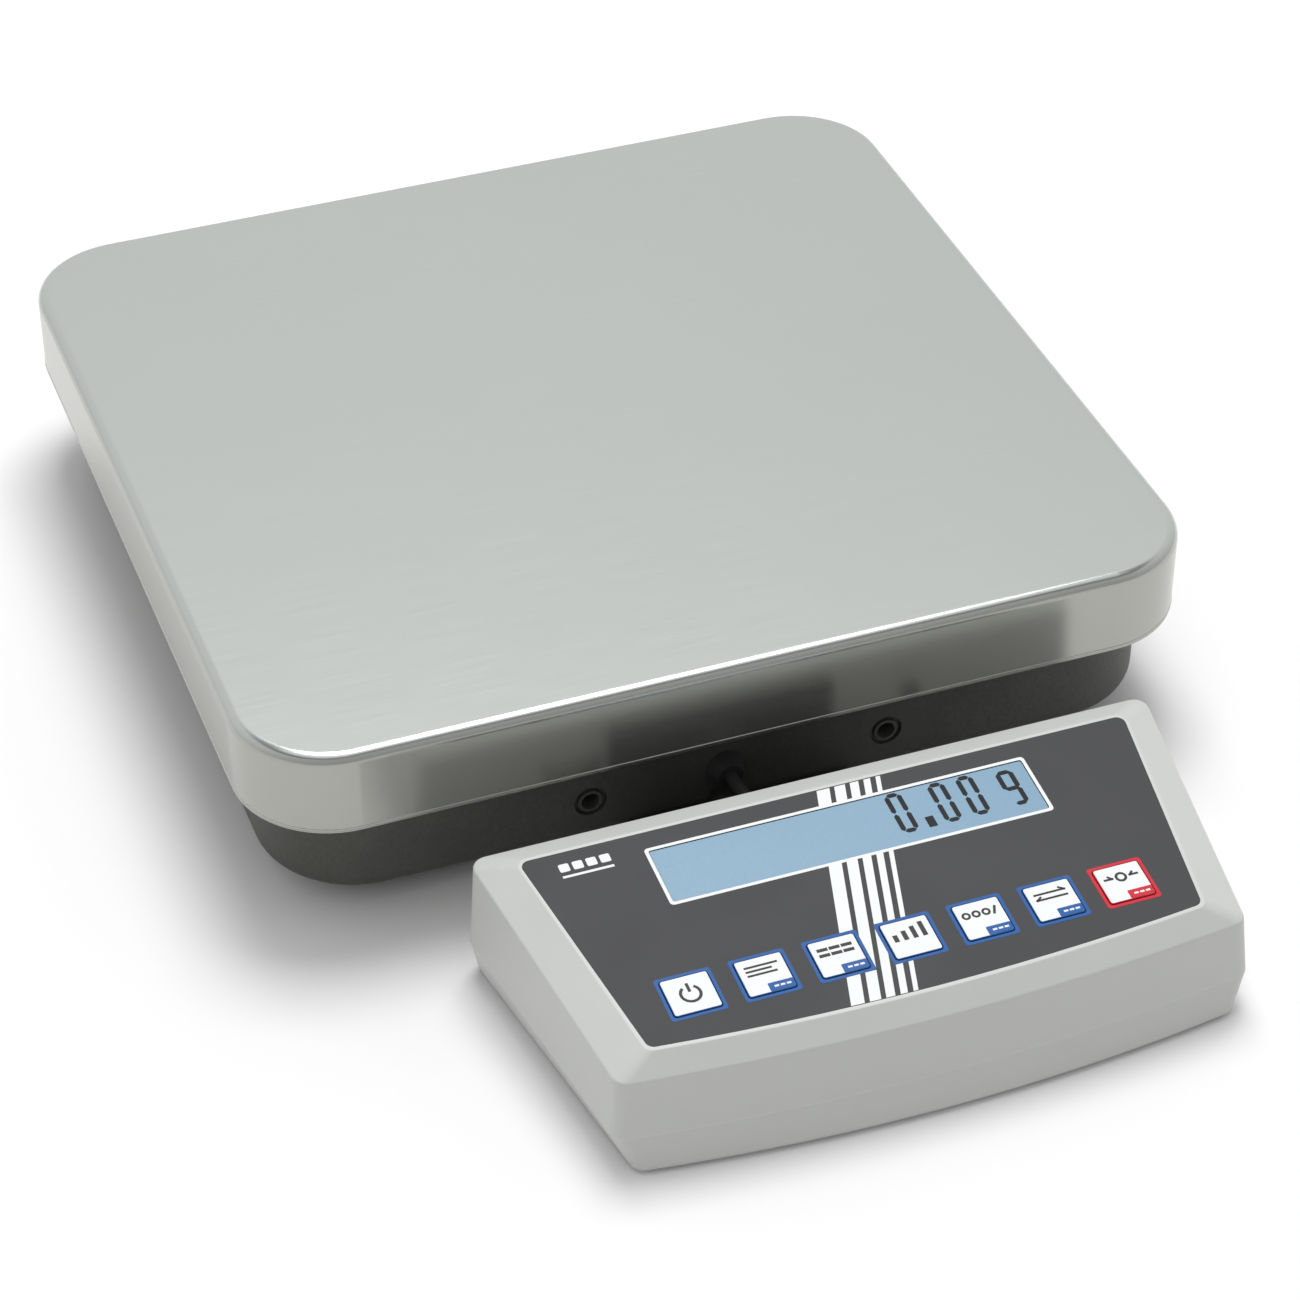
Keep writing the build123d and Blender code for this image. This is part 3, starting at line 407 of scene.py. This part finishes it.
materials = {
    "stainless_brushed": brushed_steel("stainless_brushed_look"),
    "steel_sheet": metal(
        "steel_sheet_look", (0.5, 0.5, 0.5), rough=0.38, grain=1.0, stretch=(40, 1800, 1800)
    ),
    "cast_aluminium": metal(
        "cast_aluminium_look", (0.6, 0.61, 0.63), rough=0.5, grain=1100.0, height=0.00008
    ),
    "cell_aluminium": metal("cell_aluminium_look", (0.72, 0.73, 0.75), grain=1.0, stretch=(2200, 60, 60)),
    "zinc_steel": metal("zinc_steel_look", (0.62, 0.63, 0.66), grain=1500.0),
    "black_steel": moulded("black_steel_look", (0.02, 0.02, 0.021), rough=0.4, grain=1600.0),
    "port_metal": metal("port_metal_look", (0.6, 0.6, 0.58), rough=0.25, grain=1800.0),
    "base_paint": moulded(
        "base_paint_look", (0.066, 0.066, 0.058),
        rough=0.55, grain=900.0, height=0.00016, spread=0.22, edge_lift=0.10,
    ),
    "head_plastic": moulded(
        "head_plastic_look", (0.555, 0.565, 0.55), rough=0.42, grain=2400.0, spread=0.015, edge_lift=0.18
    ),
    "rubber_black": moulded(
        "rubber_black_look", (0.016, 0.016, 0.017),
        rough=0.72, grain=1500.0, height=0.00005, spread=0.12, edge_lift=0.05,
    ),
    "connector_plastic": moulded("connector_plastic_look", (0.02, 0.02, 0.022), rough=0.4, grain=1800.0),
    "lead_grey": moulded("lead_grey_look", (0.2, 0.2, 0.205), rough=0.5, grain=1900.0),
    "gauge_silicone": moulded(
        "gauge_silicone_look", (0.75, 0.74, 0.7),
        rough=0.35, grain=500.0, height=0.0001, spread=0.03, edge_lift=0.0,
    ),
    "backlight_plastic": moulded("backlight_plastic_look", (0.8, 0.82, 0.84), rough=0.4, grain=1500.0),
    "level_cup_plastic": moulded("level_cup_plastic_look", (0.72, 0.73, 0.72), rough=0.35, grain=1800.0),
    "level_fluid": moulded(
        "level_fluid_look", (0.42, 0.62, 0.06), rough=0.08, grain=200.0, height=0.0, spread=0.05, edge_lift=0.0
    ),
    "clear_lens": clear_plastic("clear_lens_look"),
    "circuit_board": printed_board("circuit_board_look"),
    "foil_grey": moulded(
        "foil_grey_look", FOIL_GREY,
        rough=0.55, grain=2600.0, height=0.000012, spread=0.03, edge_lift=0.04, **FOIL_SHEEN,
    ),
    "key_blue_edge": moulded("key_blue_edge_look", INK_BLUE, rough=0.4, grain=2000.0, height=0.00001),
    "key_red_edge": moulded("key_red_edge_look", INK_RED, rough=0.4, grain=2000.0, height=0.00001),
    "display_blue": display_face("display_blue_look"),
}
threads = threaded_metal("thread_look", (0.6, 0.61, 0.64), 0.00125)
ink_white = ink("ink_white_look", INK_WHITE, spread=0.02)
ink_blue = ink("ink_blue_look", INK_BLUE)
ink_red = ink("ink_red_look", INK_RED)
ink_dark = ink("ink_dark_look", INK_DARK)
segment_dark = moulded(
    "segment_dark_look", (0.002, 0.003, 0.005),
    rough=0.5, grain=2600.0, height=0.000005, spread=0.1, edge_lift=0.0, **DULL,
)

for obj in nodes.values():
    slot_name = obj.material_slots[0].material.name.split(".")[0]
    obj.material_slots[0].material = materials[slot_name]
for number in range(1, 5):
    nodes["foot_screw_" + str(number)].material_slots[0].material = threads


# ---------------------------------------------------------------- thin printed and raised pieces
def rounded_box(x, y, width, depth, radius, steps=5):
    """Outline of a rounded rectangle, anticlockwise from its right front corner."""
    outline = []
    for turn, (sx, sy) in enumerate(((1, -1), (1, 1), (-1, 1), (-1, -1))):
        for step in range(steps + 1):
            angle = math.radians(-90 + 90 * turn + 90 * step / steps)
            outline.append((
                x + sx * (width / 2 - radius) + radius * math.cos(angle),
                y + sy * (depth / 2 - radius) + radius * math.sin(angle),
            ))
    return outline


def prism(mesh, outline, low, high):
    """A closed slab over an outline of the panel's frame."""
    bottom = [mesh.verts.new(on_panel(x, y, low)) for x, y in outline]
    top = [mesh.verts.new(on_panel(x, y, high)) for x, y in outline]
    mesh.faces.new(top)
    mesh.faces.new(bottom[::-1])
    for i in range(len(outline)):
        j = (i + 1) % len(outline)
        mesh.faces.new((bottom[i], bottom[j], top[j], top[i]))


def join_loops(mesh, loops):
    """A closed skin over closed loops of points, each joined to the next and the last to the first."""
    count = len(loops[0])
    for first, second in zip(loops, loops[1:] + loops[:1]):
        for i in range(count):
            j = (i + 1) % count
            mesh.faces.new((first[i], first[j], second[j], second[i]))


def ring(mesh, outer, inner, low, high):
    """A closed ring between two outlines with the same number of points."""
    loops = [
        [mesh.verts.new(on_panel(x, y, h)) for x, y in outline]
        for outline, h in ((outer, low), (outer, high), (inner, high), (inner, low))
    ]
    join_loops(mesh, loops)


def stroke(mesh, start, end, width, low, high):
    """A straight line of ink with square ends."""
    along = Vector((end[0] - start[0], end[1] - start[1])).normalized() * width / 2
    side = Vector((-along.y, along.x))
    first = Vector(start) - along
    last = Vector(end) + along
    outline = [first - side, last - side, last + side, first + side]
    prism(mesh, [tuple(point) for point in outline], low, high)


def finish_piece(mesh, name, material, body):
    """Turn a bmesh into a piece that rides on a body."""
    bmesh.ops.recalc_face_normals(mesh, faces=mesh.faces)
    data = bpy.data.meshes.new(name)
    mesh.to_mesh(data)
    mesh.free()
    data.materials.append(material)
    piece = bpy.data.objects.new(name, data)
    bpy.context.scene.collection.objects.link(piece)
    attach(piece, body)
    return piece


def smooth(piece):
    """Smooth shading on a round piece."""
    for face in piece.data.polygons:
        face.use_smooth = True


# ---------------------------------------------------------------- print on the keypad foil
INK = 0.04                   # thickness of a layer of ink
FOIL_MARGIN = 0.25           # bare foil left between the ink and the foil's edge
WINDOW_LINE = 1.15           # white line round the display window
STRIPES = ((4.2, 1.6), (3.5, 1.6), (2.8, 1.7), (2.2, 1.8), (1.5, 0.0))   # width and gap to the next
STRIPE_LEAN = 0.275          # how far the stripes move to the left for each step to the front
STRIPE_START = -3.7          # left edge of the first stripe at the foil's rear edge
KEY_WIDTH = 14.8
KEY_DEPTH = 14.0
KEY_OPENING = 0.3            # clearance between a key and the foil
KEY_BORDER = 1.05            # printed border round a key
EMBLEM_PLACE = (-80.5, 32.0)
EMBLEM_SQUARE = 3.2
EMBLEM_STEP = 4.3

foil_low, foil_high = [from_panel(y, UP) for y in span("keypad_foil", UP)]
window_low, window_high = [from_panel(y, UP) for y in span("display_window", UP)]
window_left, window_right = [from_panel(x, RIGHT) for x in span("display_window", RIGHT)]
window_x = (window_left + window_right) / 2
window_y = (window_low + window_high) / 2
window_width = window_right - window_left
window_depth = window_high - window_low

FOIL_FRONT_HALF = 87.4       # the foil's front edge is an arc through its two corners
FOIL_BOW = 4.6
foil_radius = (FOIL_FRONT_HALF**2 + FOIL_BOW**2) / (2 * FOIL_BOW)


def foil_front(x):
    """The foil's front edge."""
    return foil_low + foil_radius - math.sqrt(foil_radius**2 - x**2)


def cut(outline, axis, limit, keep_above):
    """The part of a convex outline on one side of a line square to an axis."""
    kept = []
    for a, b in zip(outline, outline[1:] + outline[:1]):
        inside_a = (a[axis] >= limit) == keep_above
        inside_b = (b[axis] >= limit) == keep_above
        if inside_a:
            kept.append(a)
        if inside_a != inside_b:
            share = (limit - a[axis]) / (b[axis] - a[axis])
            kept.append((a[0] + share * (b[0] - a[0]), a[1] + share * (b[1] - a[1])))
    return kept


def make_stripes():
    """Five leaning stripes, broken by the window and the keys."""
    rear = foil_high - FOIL_MARGIN
    border = KEY_OPENING + KEY_BORDER
    key_rear = KEY_LINE + KEY_DEPTH / 2 + border
    key_front = KEY_LINE - KEY_DEPTH / 2 - border
    between_keys = (key_middle(3) + KEY_WIDTH / 2 + border, key_middle(4) - KEY_WIDTH / 2 - border)
    everywhere = (-200.0, 200.0)
    zones = (
        (everywhere, (window_high + WINDOW_LINE, rear)),
        (everywhere, (key_rear, window_low - WINDOW_LINE)),
        (between_keys, (key_front, key_rear)),
        (everywhere, (foil_low, key_front)),
    )
    mesh = bmesh.new()
    left = STRIPE_START
    for width, gap in STRIPES:
        edges = []
        for x in (left, left + width):
            front_x = x - STRIPE_LEAN * (rear - foil_low)
            edges.append((x, (front_x, foil_front(front_x) + FOIL_MARGIN)))
        (left_rear, left_front), (right_rear, right_front) = edges
        whole = [left_front, right_front, (right_rear, rear), (left_rear, rear)]
        for (x_low, x_high), (y_low, y_high) in zones:
            outline = whole
            sides = ((0, x_low, True), (0, x_high, False), (1, y_low, True), (1, y_high, False))
            for axis, limit, above in sides:
                outline = cut(outline, axis, limit, above)
                if len(outline) < 3:
                    break
            if len(outline) > 2:
                prism(mesh, outline, 0, INK)
        left += width + gap
    finish_piece(mesh, "foil_stripes", ink_white, "scale_body")


def make_window_line():
    """White line round the display window."""
    clearance = 0.1
    mesh = bmesh.new()
    outer_width = window_width + 2 * WINDOW_LINE
    outer_depth = window_depth + 2 * WINDOW_LINE
    outer = rounded_box(window_x, window_y, outer_width, outer_depth, 1.3)
    inner = rounded_box(window_x, window_y, window_width + clearance, window_depth + clearance, 0.8)
    ring(mesh, outer, inner, 0, INK)
    finish_piece(mesh, "foil_window_line", ink_white, "scale_body")


def make_key_borders():
    """Coloured borders printed on the foil round the keys."""
    inner_width = KEY_WIDTH + 2 * KEY_OPENING
    inner_depth = KEY_DEPTH + 2 * KEY_OPENING
    for number in range(1, KEY_COUNT + 1):
        mesh = bmesh.new()
        x = key_middle(number)
        outer = rounded_box(x, KEY_LINE, inner_width + 2 * KEY_BORDER, inner_depth + 2 * KEY_BORDER, 1.0)
        inner = rounded_box(x, KEY_LINE, inner_width, inner_depth, 1.2)
        ring(mesh, outer, inner, 0, 1.5 * INK)
        red = number == KEY_COUNT
        finish_piece(
            mesh,
            "key_border_" + str(number),
            ink_red if red else ink_blue,
            "scale_body",
        )


def make_emblem():
    """A plain pictogram in the foil's rear left corner: a row of equal parts over a line."""
    mesh = bmesh.new()
    x, y = EMBLEM_PLACE
    for column in range(4):
        centre = x - 6.5 + EMBLEM_STEP * column
        prism(mesh, rounded_box(centre, y + 1.3, EMBLEM_SQUARE, EMBLEM_SQUARE, 0.5), 0, INK)
    stroke(mesh, (x - 7.7, y - 2.3), (x + 7.6, y - 2.3), 0.9, 0, INK)
    finish_piece(mesh, "foil_pictogram", ink_white, "scale_body")


# ---------------------------------------------------------------- key faces
def arc(mesh, x, y, radius, start, end, width, low, high, steps=14):
    """A round line of ink, from one angle to another in degrees."""
    rims = []
    for r in (radius - width / 2, radius + width / 2):
        rims.append([
            (x + r * math.cos(math.radians(start + (end - start) * i / steps)),
             y + r * math.sin(math.radians(start + (end - start) * i / steps)))
            for i in range(steps + 1)
        ])
    prism(mesh, rims[1] + rims[0][::-1], low, high)


def icon_power(mesh, x, y, low, high):
    """A ring that is open at its top, with a bar in the opening."""
    arc(mesh, x, y, 3.0, 125, 415, 0.95, low, high)
    stroke(mesh, (x, y + 1.2), (x, y + 3.6), 0.95, low, high)


def icon_list(mesh, x, y, low, high):
    """Three lines of unequal length."""
    for row, length in ((1.6, 9.6), (0.0, 7.4), (-1.6, 8.6)):
        stroke(mesh, (x - 4.8, y + row), (x - 4.8 + length, y + row), 0.75, low, high)


def icon_pile(mesh, x, y, low, high):
    """Two rows of three blocks."""
    for column in (-3.8, 0.0, 3.8):
        for row in (-1.0, 1.2):
            stroke(mesh, (x + column - 1.1, y + row), (x + column + 1.1, y + row), 1.2, low, high)


def icon_steps(mesh, x, y, low, high):
    """Four bars, each taller than the one before."""
    for i, tall in enumerate((1.2, 2.2, 3.2, 4.2)):
        column = x - 4.5 + 3.0 * i
        stroke(mesh, (column, y - 1.6), (column, y - 1.6 + tall), 1.5, low, high)


def icon_dots(mesh, x, y, low, high):
    """Three small rings and a leaning bar."""
    for column in (-4.4, -1.2, 2.0):
        arc(mesh, x + column, y, 1.05, 0, 359, 0.75, low, high)
    stroke(mesh, (x + 4.2, y - 1.2), (x + 5.2, y + 1.2), 0.8, low, high)


def icon_swap(mesh, x, y, low, high):
    """Two level lines with half an arrow head each, pointing opposite ways."""
    for way in (1, -1):
        level = y + way * 1.1
        stroke(mesh, (x - 4.8, level), (x + 4.8, level), 0.75, low, high)
        stroke(mesh, (x + way * 3.4, level + 1.0), (x + way * 4.8, level), 0.7, low, high)


def icon_zero(mesh, x, y, low, high):
    """A ring between two dashes with half an arrow head each."""
    arc(mesh, x, y, 1.5, 0, 359, 0.85, low, high)
    for way in (1, -1):
        stroke(mesh, (x + way * 2.9, y), (x + way * 5.2, y), 0.8, low, high)
        stroke(mesh, (x + way * 2.9, y), (x + way * 3.9, y + 1.0), 0.7, low, high)


ICONS = (icon_power, icon_list, icon_pile, icon_steps, icon_dots, icon_swap, icon_zero)
ICON_RISE = (0.0, 2.2, 2.2, 1.6, 2.2, 2.2, 2.2)
TAGGED_KEYS = (2, 3, 5, 6, 7)
FACE_MARGIN = 0.5            # how much smaller a key's white face is than the key
FACE_SINK = 0.02             # how far the face starts under the key's top
TAG_LEFT = -0.7              # the tag's left edge from the key's middle
TAG_REAR = -3.5              # the tag's rear edge from the key's middle
TAG_MARK = 0.7               # length and width of one of a tag's three marks


def make_key_print(number):
    """White face of a key with its dark sign, and a coloured tag in its front right corner."""
    body = "key_" + str(number) + "_cap"
    red = number == KEY_COUNT
    edge_ink = ink_red if red else ink_blue
    face_width = KEY_WIDTH - FACE_MARGIN
    face_depth = KEY_DEPTH - FACE_MARGIN
    x = key_middle(number)
    top = height_of("key_" + str(number))
    face = bmesh.new()
    prism(face, rounded_box(x, KEY_LINE, face_width, face_depth, 0.6), top - FACE_SINK, top + INK)
    finish_piece(face, "key_face_" + str(number), ink_white, body)
    sign = bmesh.new()
    ICONS[number - 1](sign, x, KEY_LINE + ICON_RISE[number - 1], top + INK, top + 2 * INK)
    finish_piece(sign, "key_sign_" + str(number), ink_dark, body)
    if number in TAGGED_KEYS:
        left, right = x + TAG_LEFT, x + face_width / 2
        rear, front = KEY_LINE + TAG_REAR, KEY_LINE - face_depth / 2
        tag_y = (rear + front) / 2
        tag = bmesh.new()
        outline = rounded_box((left + right) / 2, tag_y, right - left, rear - front, 0.3)
        prism(tag, outline, top + INK, top + 2 * INK)
        finish_piece(tag, "key_tag_" + str(number), edge_ink, body)
        marks = bmesh.new()
        for i in range(3):
            column = left + 2.0 + 1.9 * i
            ends = ((column, tag_y), (column + TAG_MARK, tag_y))
            stroke(marks, *ends, TAG_MARK, top + 2 * INK, top + 3 * INK)
        finish_piece(marks, "key_tag_marks_" + str(number), ink_white, body)


# ---------------------------------------------------------------- display
DIGIT_WIDTH = 5.6
DIGIT_HEIGHT = 16.8
DIGIT_STROKE = 1.6
DIGIT_LINE = 14.4            # foot of the digits
DIGIT_PLACES = (14.6, 28.8, 38.2)
POINT_X = 24.6
FACE_LOW = -0.42             # the display's face, bonded into the back of the clear window
FACE_TOP = -0.25


def segment(mesh, start, end, low, high):
    """A display segment: a bar with pointed ends."""
    along = Vector((end[0] - start[0], end[1] - start[1])).normalized() * DIGIT_STROKE / 2
    side = Vector((-along.y, along.x))
    first, last = Vector(start), Vector(end)
    shoulders = (first + along, last - along)
    right_side = [point - side for point in shoulders]
    left_side = [point + side for point in shoulders[::-1]]
    outline = [first, *right_side, last, *left_side]
    prism(mesh, [tuple(point) for point in outline], low, high)


def zero_digit(mesh, left, low, high):
    """The six lit segments of a nought."""
    inset = DIGIT_STROKE / 2
    gap = 0.15
    x_low, x_high = left + inset, left + DIGIT_WIDTH - inset
    y_low, y_high = DIGIT_LINE + inset, DIGIT_LINE + DIGIT_HEIGHT - inset
    y_middle = (y_low + y_high) / 2
    for x in (x_low, x_high):
        segment(mesh, (x, y_low + gap), (x, y_middle - gap), low, high)
        segment(mesh, (x, y_middle + gap), (x, y_high - gap), low, high)
    for y in (y_low, y_high):
        segment(mesh, (x_low + gap, y), (x_high - gap, y), low, high)


def gram_sign(mesh, low, high):
    """The sign for grams, in segments."""
    x_low, x_high = 51.6, 55.8
    y_top, y_middle, y_foot = 28.6, 21.6, 15.2
    for start, end in (
        ((x_low, y_middle), (x_low, y_top)),
        ((x_low, y_top), (x_high, y_top)),
        ((x_low, y_middle), (x_high, y_middle)),
        ((x_high, y_foot), (x_high, y_middle)),
        ((x_high, y_middle), (x_high, y_top)),
        ((x_low + 0.6, y_foot), (x_high, y_foot)),
    ):
        segment(mesh, start, end, low, high)


def make_display():
    """The display's face with three noughts, a point and the sign for grams: a scale just zeroed."""
    margin = 0.3
    face = bmesh.new()
    outline = rounded_box(window_x, window_y, window_width - margin, window_depth - margin, 0.7)
    prism(face, outline, FACE_LOW, FACE_TOP)
    finish_piece(face, "display_face", materials["display_blue"], "scale_body")
    low, high = FACE_TOP, FACE_TOP + INK
    mesh = bmesh.new()
    for left in DIGIT_PLACES:
        zero_digit(mesh, left, low, high)
    prism(mesh, rounded_box(POINT_X, DIGIT_LINE + 2.2, 2.7, 4.4, 0.3), low, high)
    gram_sign(mesh, low, high)
    finish_piece(mesh, "display_digits", segment_dark, "scale_body")


# ---------------------------------------------------------------- plate hem and spirit level
PLATE_CORNER = 32
PLATE_SHEET = 1.5
HEM_RADIUS = 0.95            # the rolled edge is a little prouder than the sheet
BUBBLE_RADIUS = 2.4
BUBBLE_FLATNESS = 0.35
LEVEL_MARK = (3.0, 3.5)      # inner and outer radius of the black ring on the lens
LEVEL_MARK_HEIGHT = 0.05


def make_hem():
    """Rounded lower edge of the plate's skirt."""
    low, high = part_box("load_plate")
    width = (high.x - low.x) / MM - PLATE_SHEET
    depth = (high.y - low.y) / MM - PLATE_SHEET
    middle_x, middle_y = (low.x + high.x) / 2 / MM, (low.y + high.y) / 2 / MM
    path = rounded_box(middle_x, middle_y, width, depth, PLATE_CORNER - PLATE_SHEET / 2, 14)
    bead = HEM_RADIUS * MM
    sides = 12
    mesh = bmesh.new()
    loops = []
    for i, (x, y) in enumerate(path):
        before = Vector(path[i - 1])
        after = Vector(path[(i + 1) % len(path)])
        along = (after - before).normalized()
        out = Vector((along.y, -along.x))
        centre = Vector((x * MM, y * MM, low.z + bead))
        loop = []
        for k in range(sides):
            angle = 2 * math.pi * k / sides
            reach = out * bead * math.cos(angle)
            loop.append(mesh.verts.new(centre + Vector((reach.x, reach.y, bead * math.sin(angle)))))
        loops.append(loop)
    join_loops(mesh, loops)
    steel = materials["stainless_brushed"]
    smooth(finish_piece(mesh, "plate_hem", steel, "load_plate"))


def make_level_detail():
    """The spirit level's bubble and the black ring on its lens."""
    low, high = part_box("level_lens")
    x, y = (low.x + high.x) / 2, (low.y + high.y) / 2
    bubble = bmesh.new()
    bmesh.ops.create_icosphere(bubble, subdivisions=4, radius=BUBBLE_RADIUS * MM)
    for vertex in bubble.verts:
        vertex.co.z *= BUBBLE_FLATNESS
        vertex.co += Vector((x, y, high.z + 0.1 * MM))
    smooth(finish_piece(bubble, "level_bubble", materials["clear_lens"], "scale_body"))
    mark = bmesh.new()
    steps = 48
    inner, outer = LEVEL_MARK
    rims = []
    for radius, z in ((outer, 0.0), (outer, LEVEL_MARK_HEIGHT), (inner, LEVEL_MARK_HEIGHT), (inner, 0.0)):
        rims.append([
            mark.verts.new((
                x + radius * MM * math.cos(2 * math.pi * i / steps),
                y + radius * MM * math.sin(2 * math.pi * i / steps),
                high.z + z * MM,
            ))
            for i in range(steps)
        ])
    join_loops(mark, rims)
    finish_piece(mark, "level_ring", ink_dark, "scale_body")


make_stripes()
make_window_line()
make_key_borders()
make_emblem()
for number in range(1, KEY_COUNT + 1):
    make_key_print(number)
make_display()
make_hem()
make_level_detail()


# ---------------------------------------------------------------- floor, lights and camera
# The surroundings' heights are the Z of a direction: 0 at the horizon and 1 overhead.
WALL_GLOW = (0.47, 0.86)     # strength of the surroundings in front and behind
CEILING_GLOW = 0.4           # what the ceiling adds
CEILING_EDGE = (0.88, 0.97)  # heights over which the ceiling's glow comes in
GAP_SHARE = 0.35             # what is left of the glow in the dim gap between walls and ceiling
GAP_START = (0.74, 0.80)     # heights over which the gap starts
GAP_END = (0.88, 0.93)       # heights over which the gap ends


def make_floor():
    """Plain white floor."""
    mesh = bmesh.new()
    half = 4.0
    corners = ((-half, -half), (half, -half), (half, half), (-half, half))
    mesh.faces.new([mesh.verts.new((x, y, 0)) for x, y in corners])
    data = bpy.data.meshes.new("floor")
    mesh.to_mesh(data)
    mesh.free()
    paper = moulded("floor_look", (0.9, 0.9, 0.9), rough=0.8, grain=300.0, height=0.0, spread=0.0, edge_lift=0.0)
    data.materials.append(paper)
    floor = bpy.data.objects.new("floor", data)
    bpy.context.scene.collection.objects.link(floor)


def area_light(name, place_at, aim, width, depth, watts):
    """A soft box at a place, turned to its aim."""
    light = bpy.data.lights.new(name, "AREA")
    light.shape = "RECTANGLE"
    light.size = width
    light.size_y = depth
    light.energy = watts
    holder = bpy.data.objects.new(name, light)
    holder.location = place_at
    holder.rotation_euler = (Vector(aim) - Vector(place_at)).to_track_quat("-Z", "Y").to_euler()
    bpy.context.scene.collection.objects.link(holder)


def make_world():
    """Studio surroundings: pale walls that are dimmer in front, a dim gap over them, a bright ceiling."""
    world = bpy.data.worlds.new("studio")
    bpy.context.scene.world = world
    world.use_nodes = True
    tree = world.node_tree
    tree.nodes.clear()
    output = tree.nodes.new("ShaderNodeOutputWorld")
    coordinates = node(tree, "ShaderNodeTexCoord")
    parts = node(tree, "ShaderNodeSeparateXYZ", {0: coordinates.outputs["Generated"]})
    walls = between(tree, parts.outputs["Y"], *WALL_GLOW, -1.0, 0.6)
    overhead = between(tree, parts.outputs["Z"], 0.0, CEILING_GLOW, *CEILING_EDGE)
    under_gap = between(tree, parts.outputs["Z"], 1, 0, *GAP_START)
    over_gap = between(tree, parts.outputs["Z"], 0, 1, *GAP_END)
    lit = node(tree, "ShaderNodeMath", {0: under_gap, 1: over_gap}, operation="MAXIMUM")
    share = between(tree, lit.outputs["Value"], GAP_SHARE, 1, 0, 1)
    dimmed = node(tree, "ShaderNodeMath", {0: walls, 1: share}, operation="MULTIPLY")
    total = node(tree, "ShaderNodeMath", {0: dimmed.outputs["Value"], 1: overhead}, operation="ADD")
    glow = {"Color": (1, 1, 1, 1), "Strength": total.outputs["Value"]}
    background = node(tree, "ShaderNodeBackground", glow)
    tree.links.new(background.outputs["Background"], output.inputs["Surface"])


def make_camera():
    """A long lens from the front left and above, aimed at a point on the plate's level."""
    azimuth = math.radians(-20.434)
    elevation = math.radians(38.235)
    distance = 1.1824
    target = Vector((-0.02684, -0.06785, cad_box[1].z))
    back = Vector((
        math.sin(azimuth) * math.cos(elevation),
        -math.cos(azimuth) * math.cos(elevation),
        math.sin(elevation),
    ))
    lens = bpy.data.cameras.new("camera")
    lens.lens = 106.504
    lens.sensor_width = 36.0
    lens.clip_start = 0.01
    lens.clip_end = 50.0
    camera = bpy.data.objects.new("camera", lens)
    camera.location = target + back * distance
    camera.rotation_euler = (-back).to_track_quat("-Z", "Y").to_euler()
    bpy.context.scene.collection.objects.link(camera)
    bpy.context.scene.camera = camera


make_floor()
make_world()
area_light("key_light", (0.26, 0.58, 1.9), (0, 0, 0), 0.9, 0.9, 25)
make_camera()
bpy.context.scene.view_settings.view_transform = "Standard"
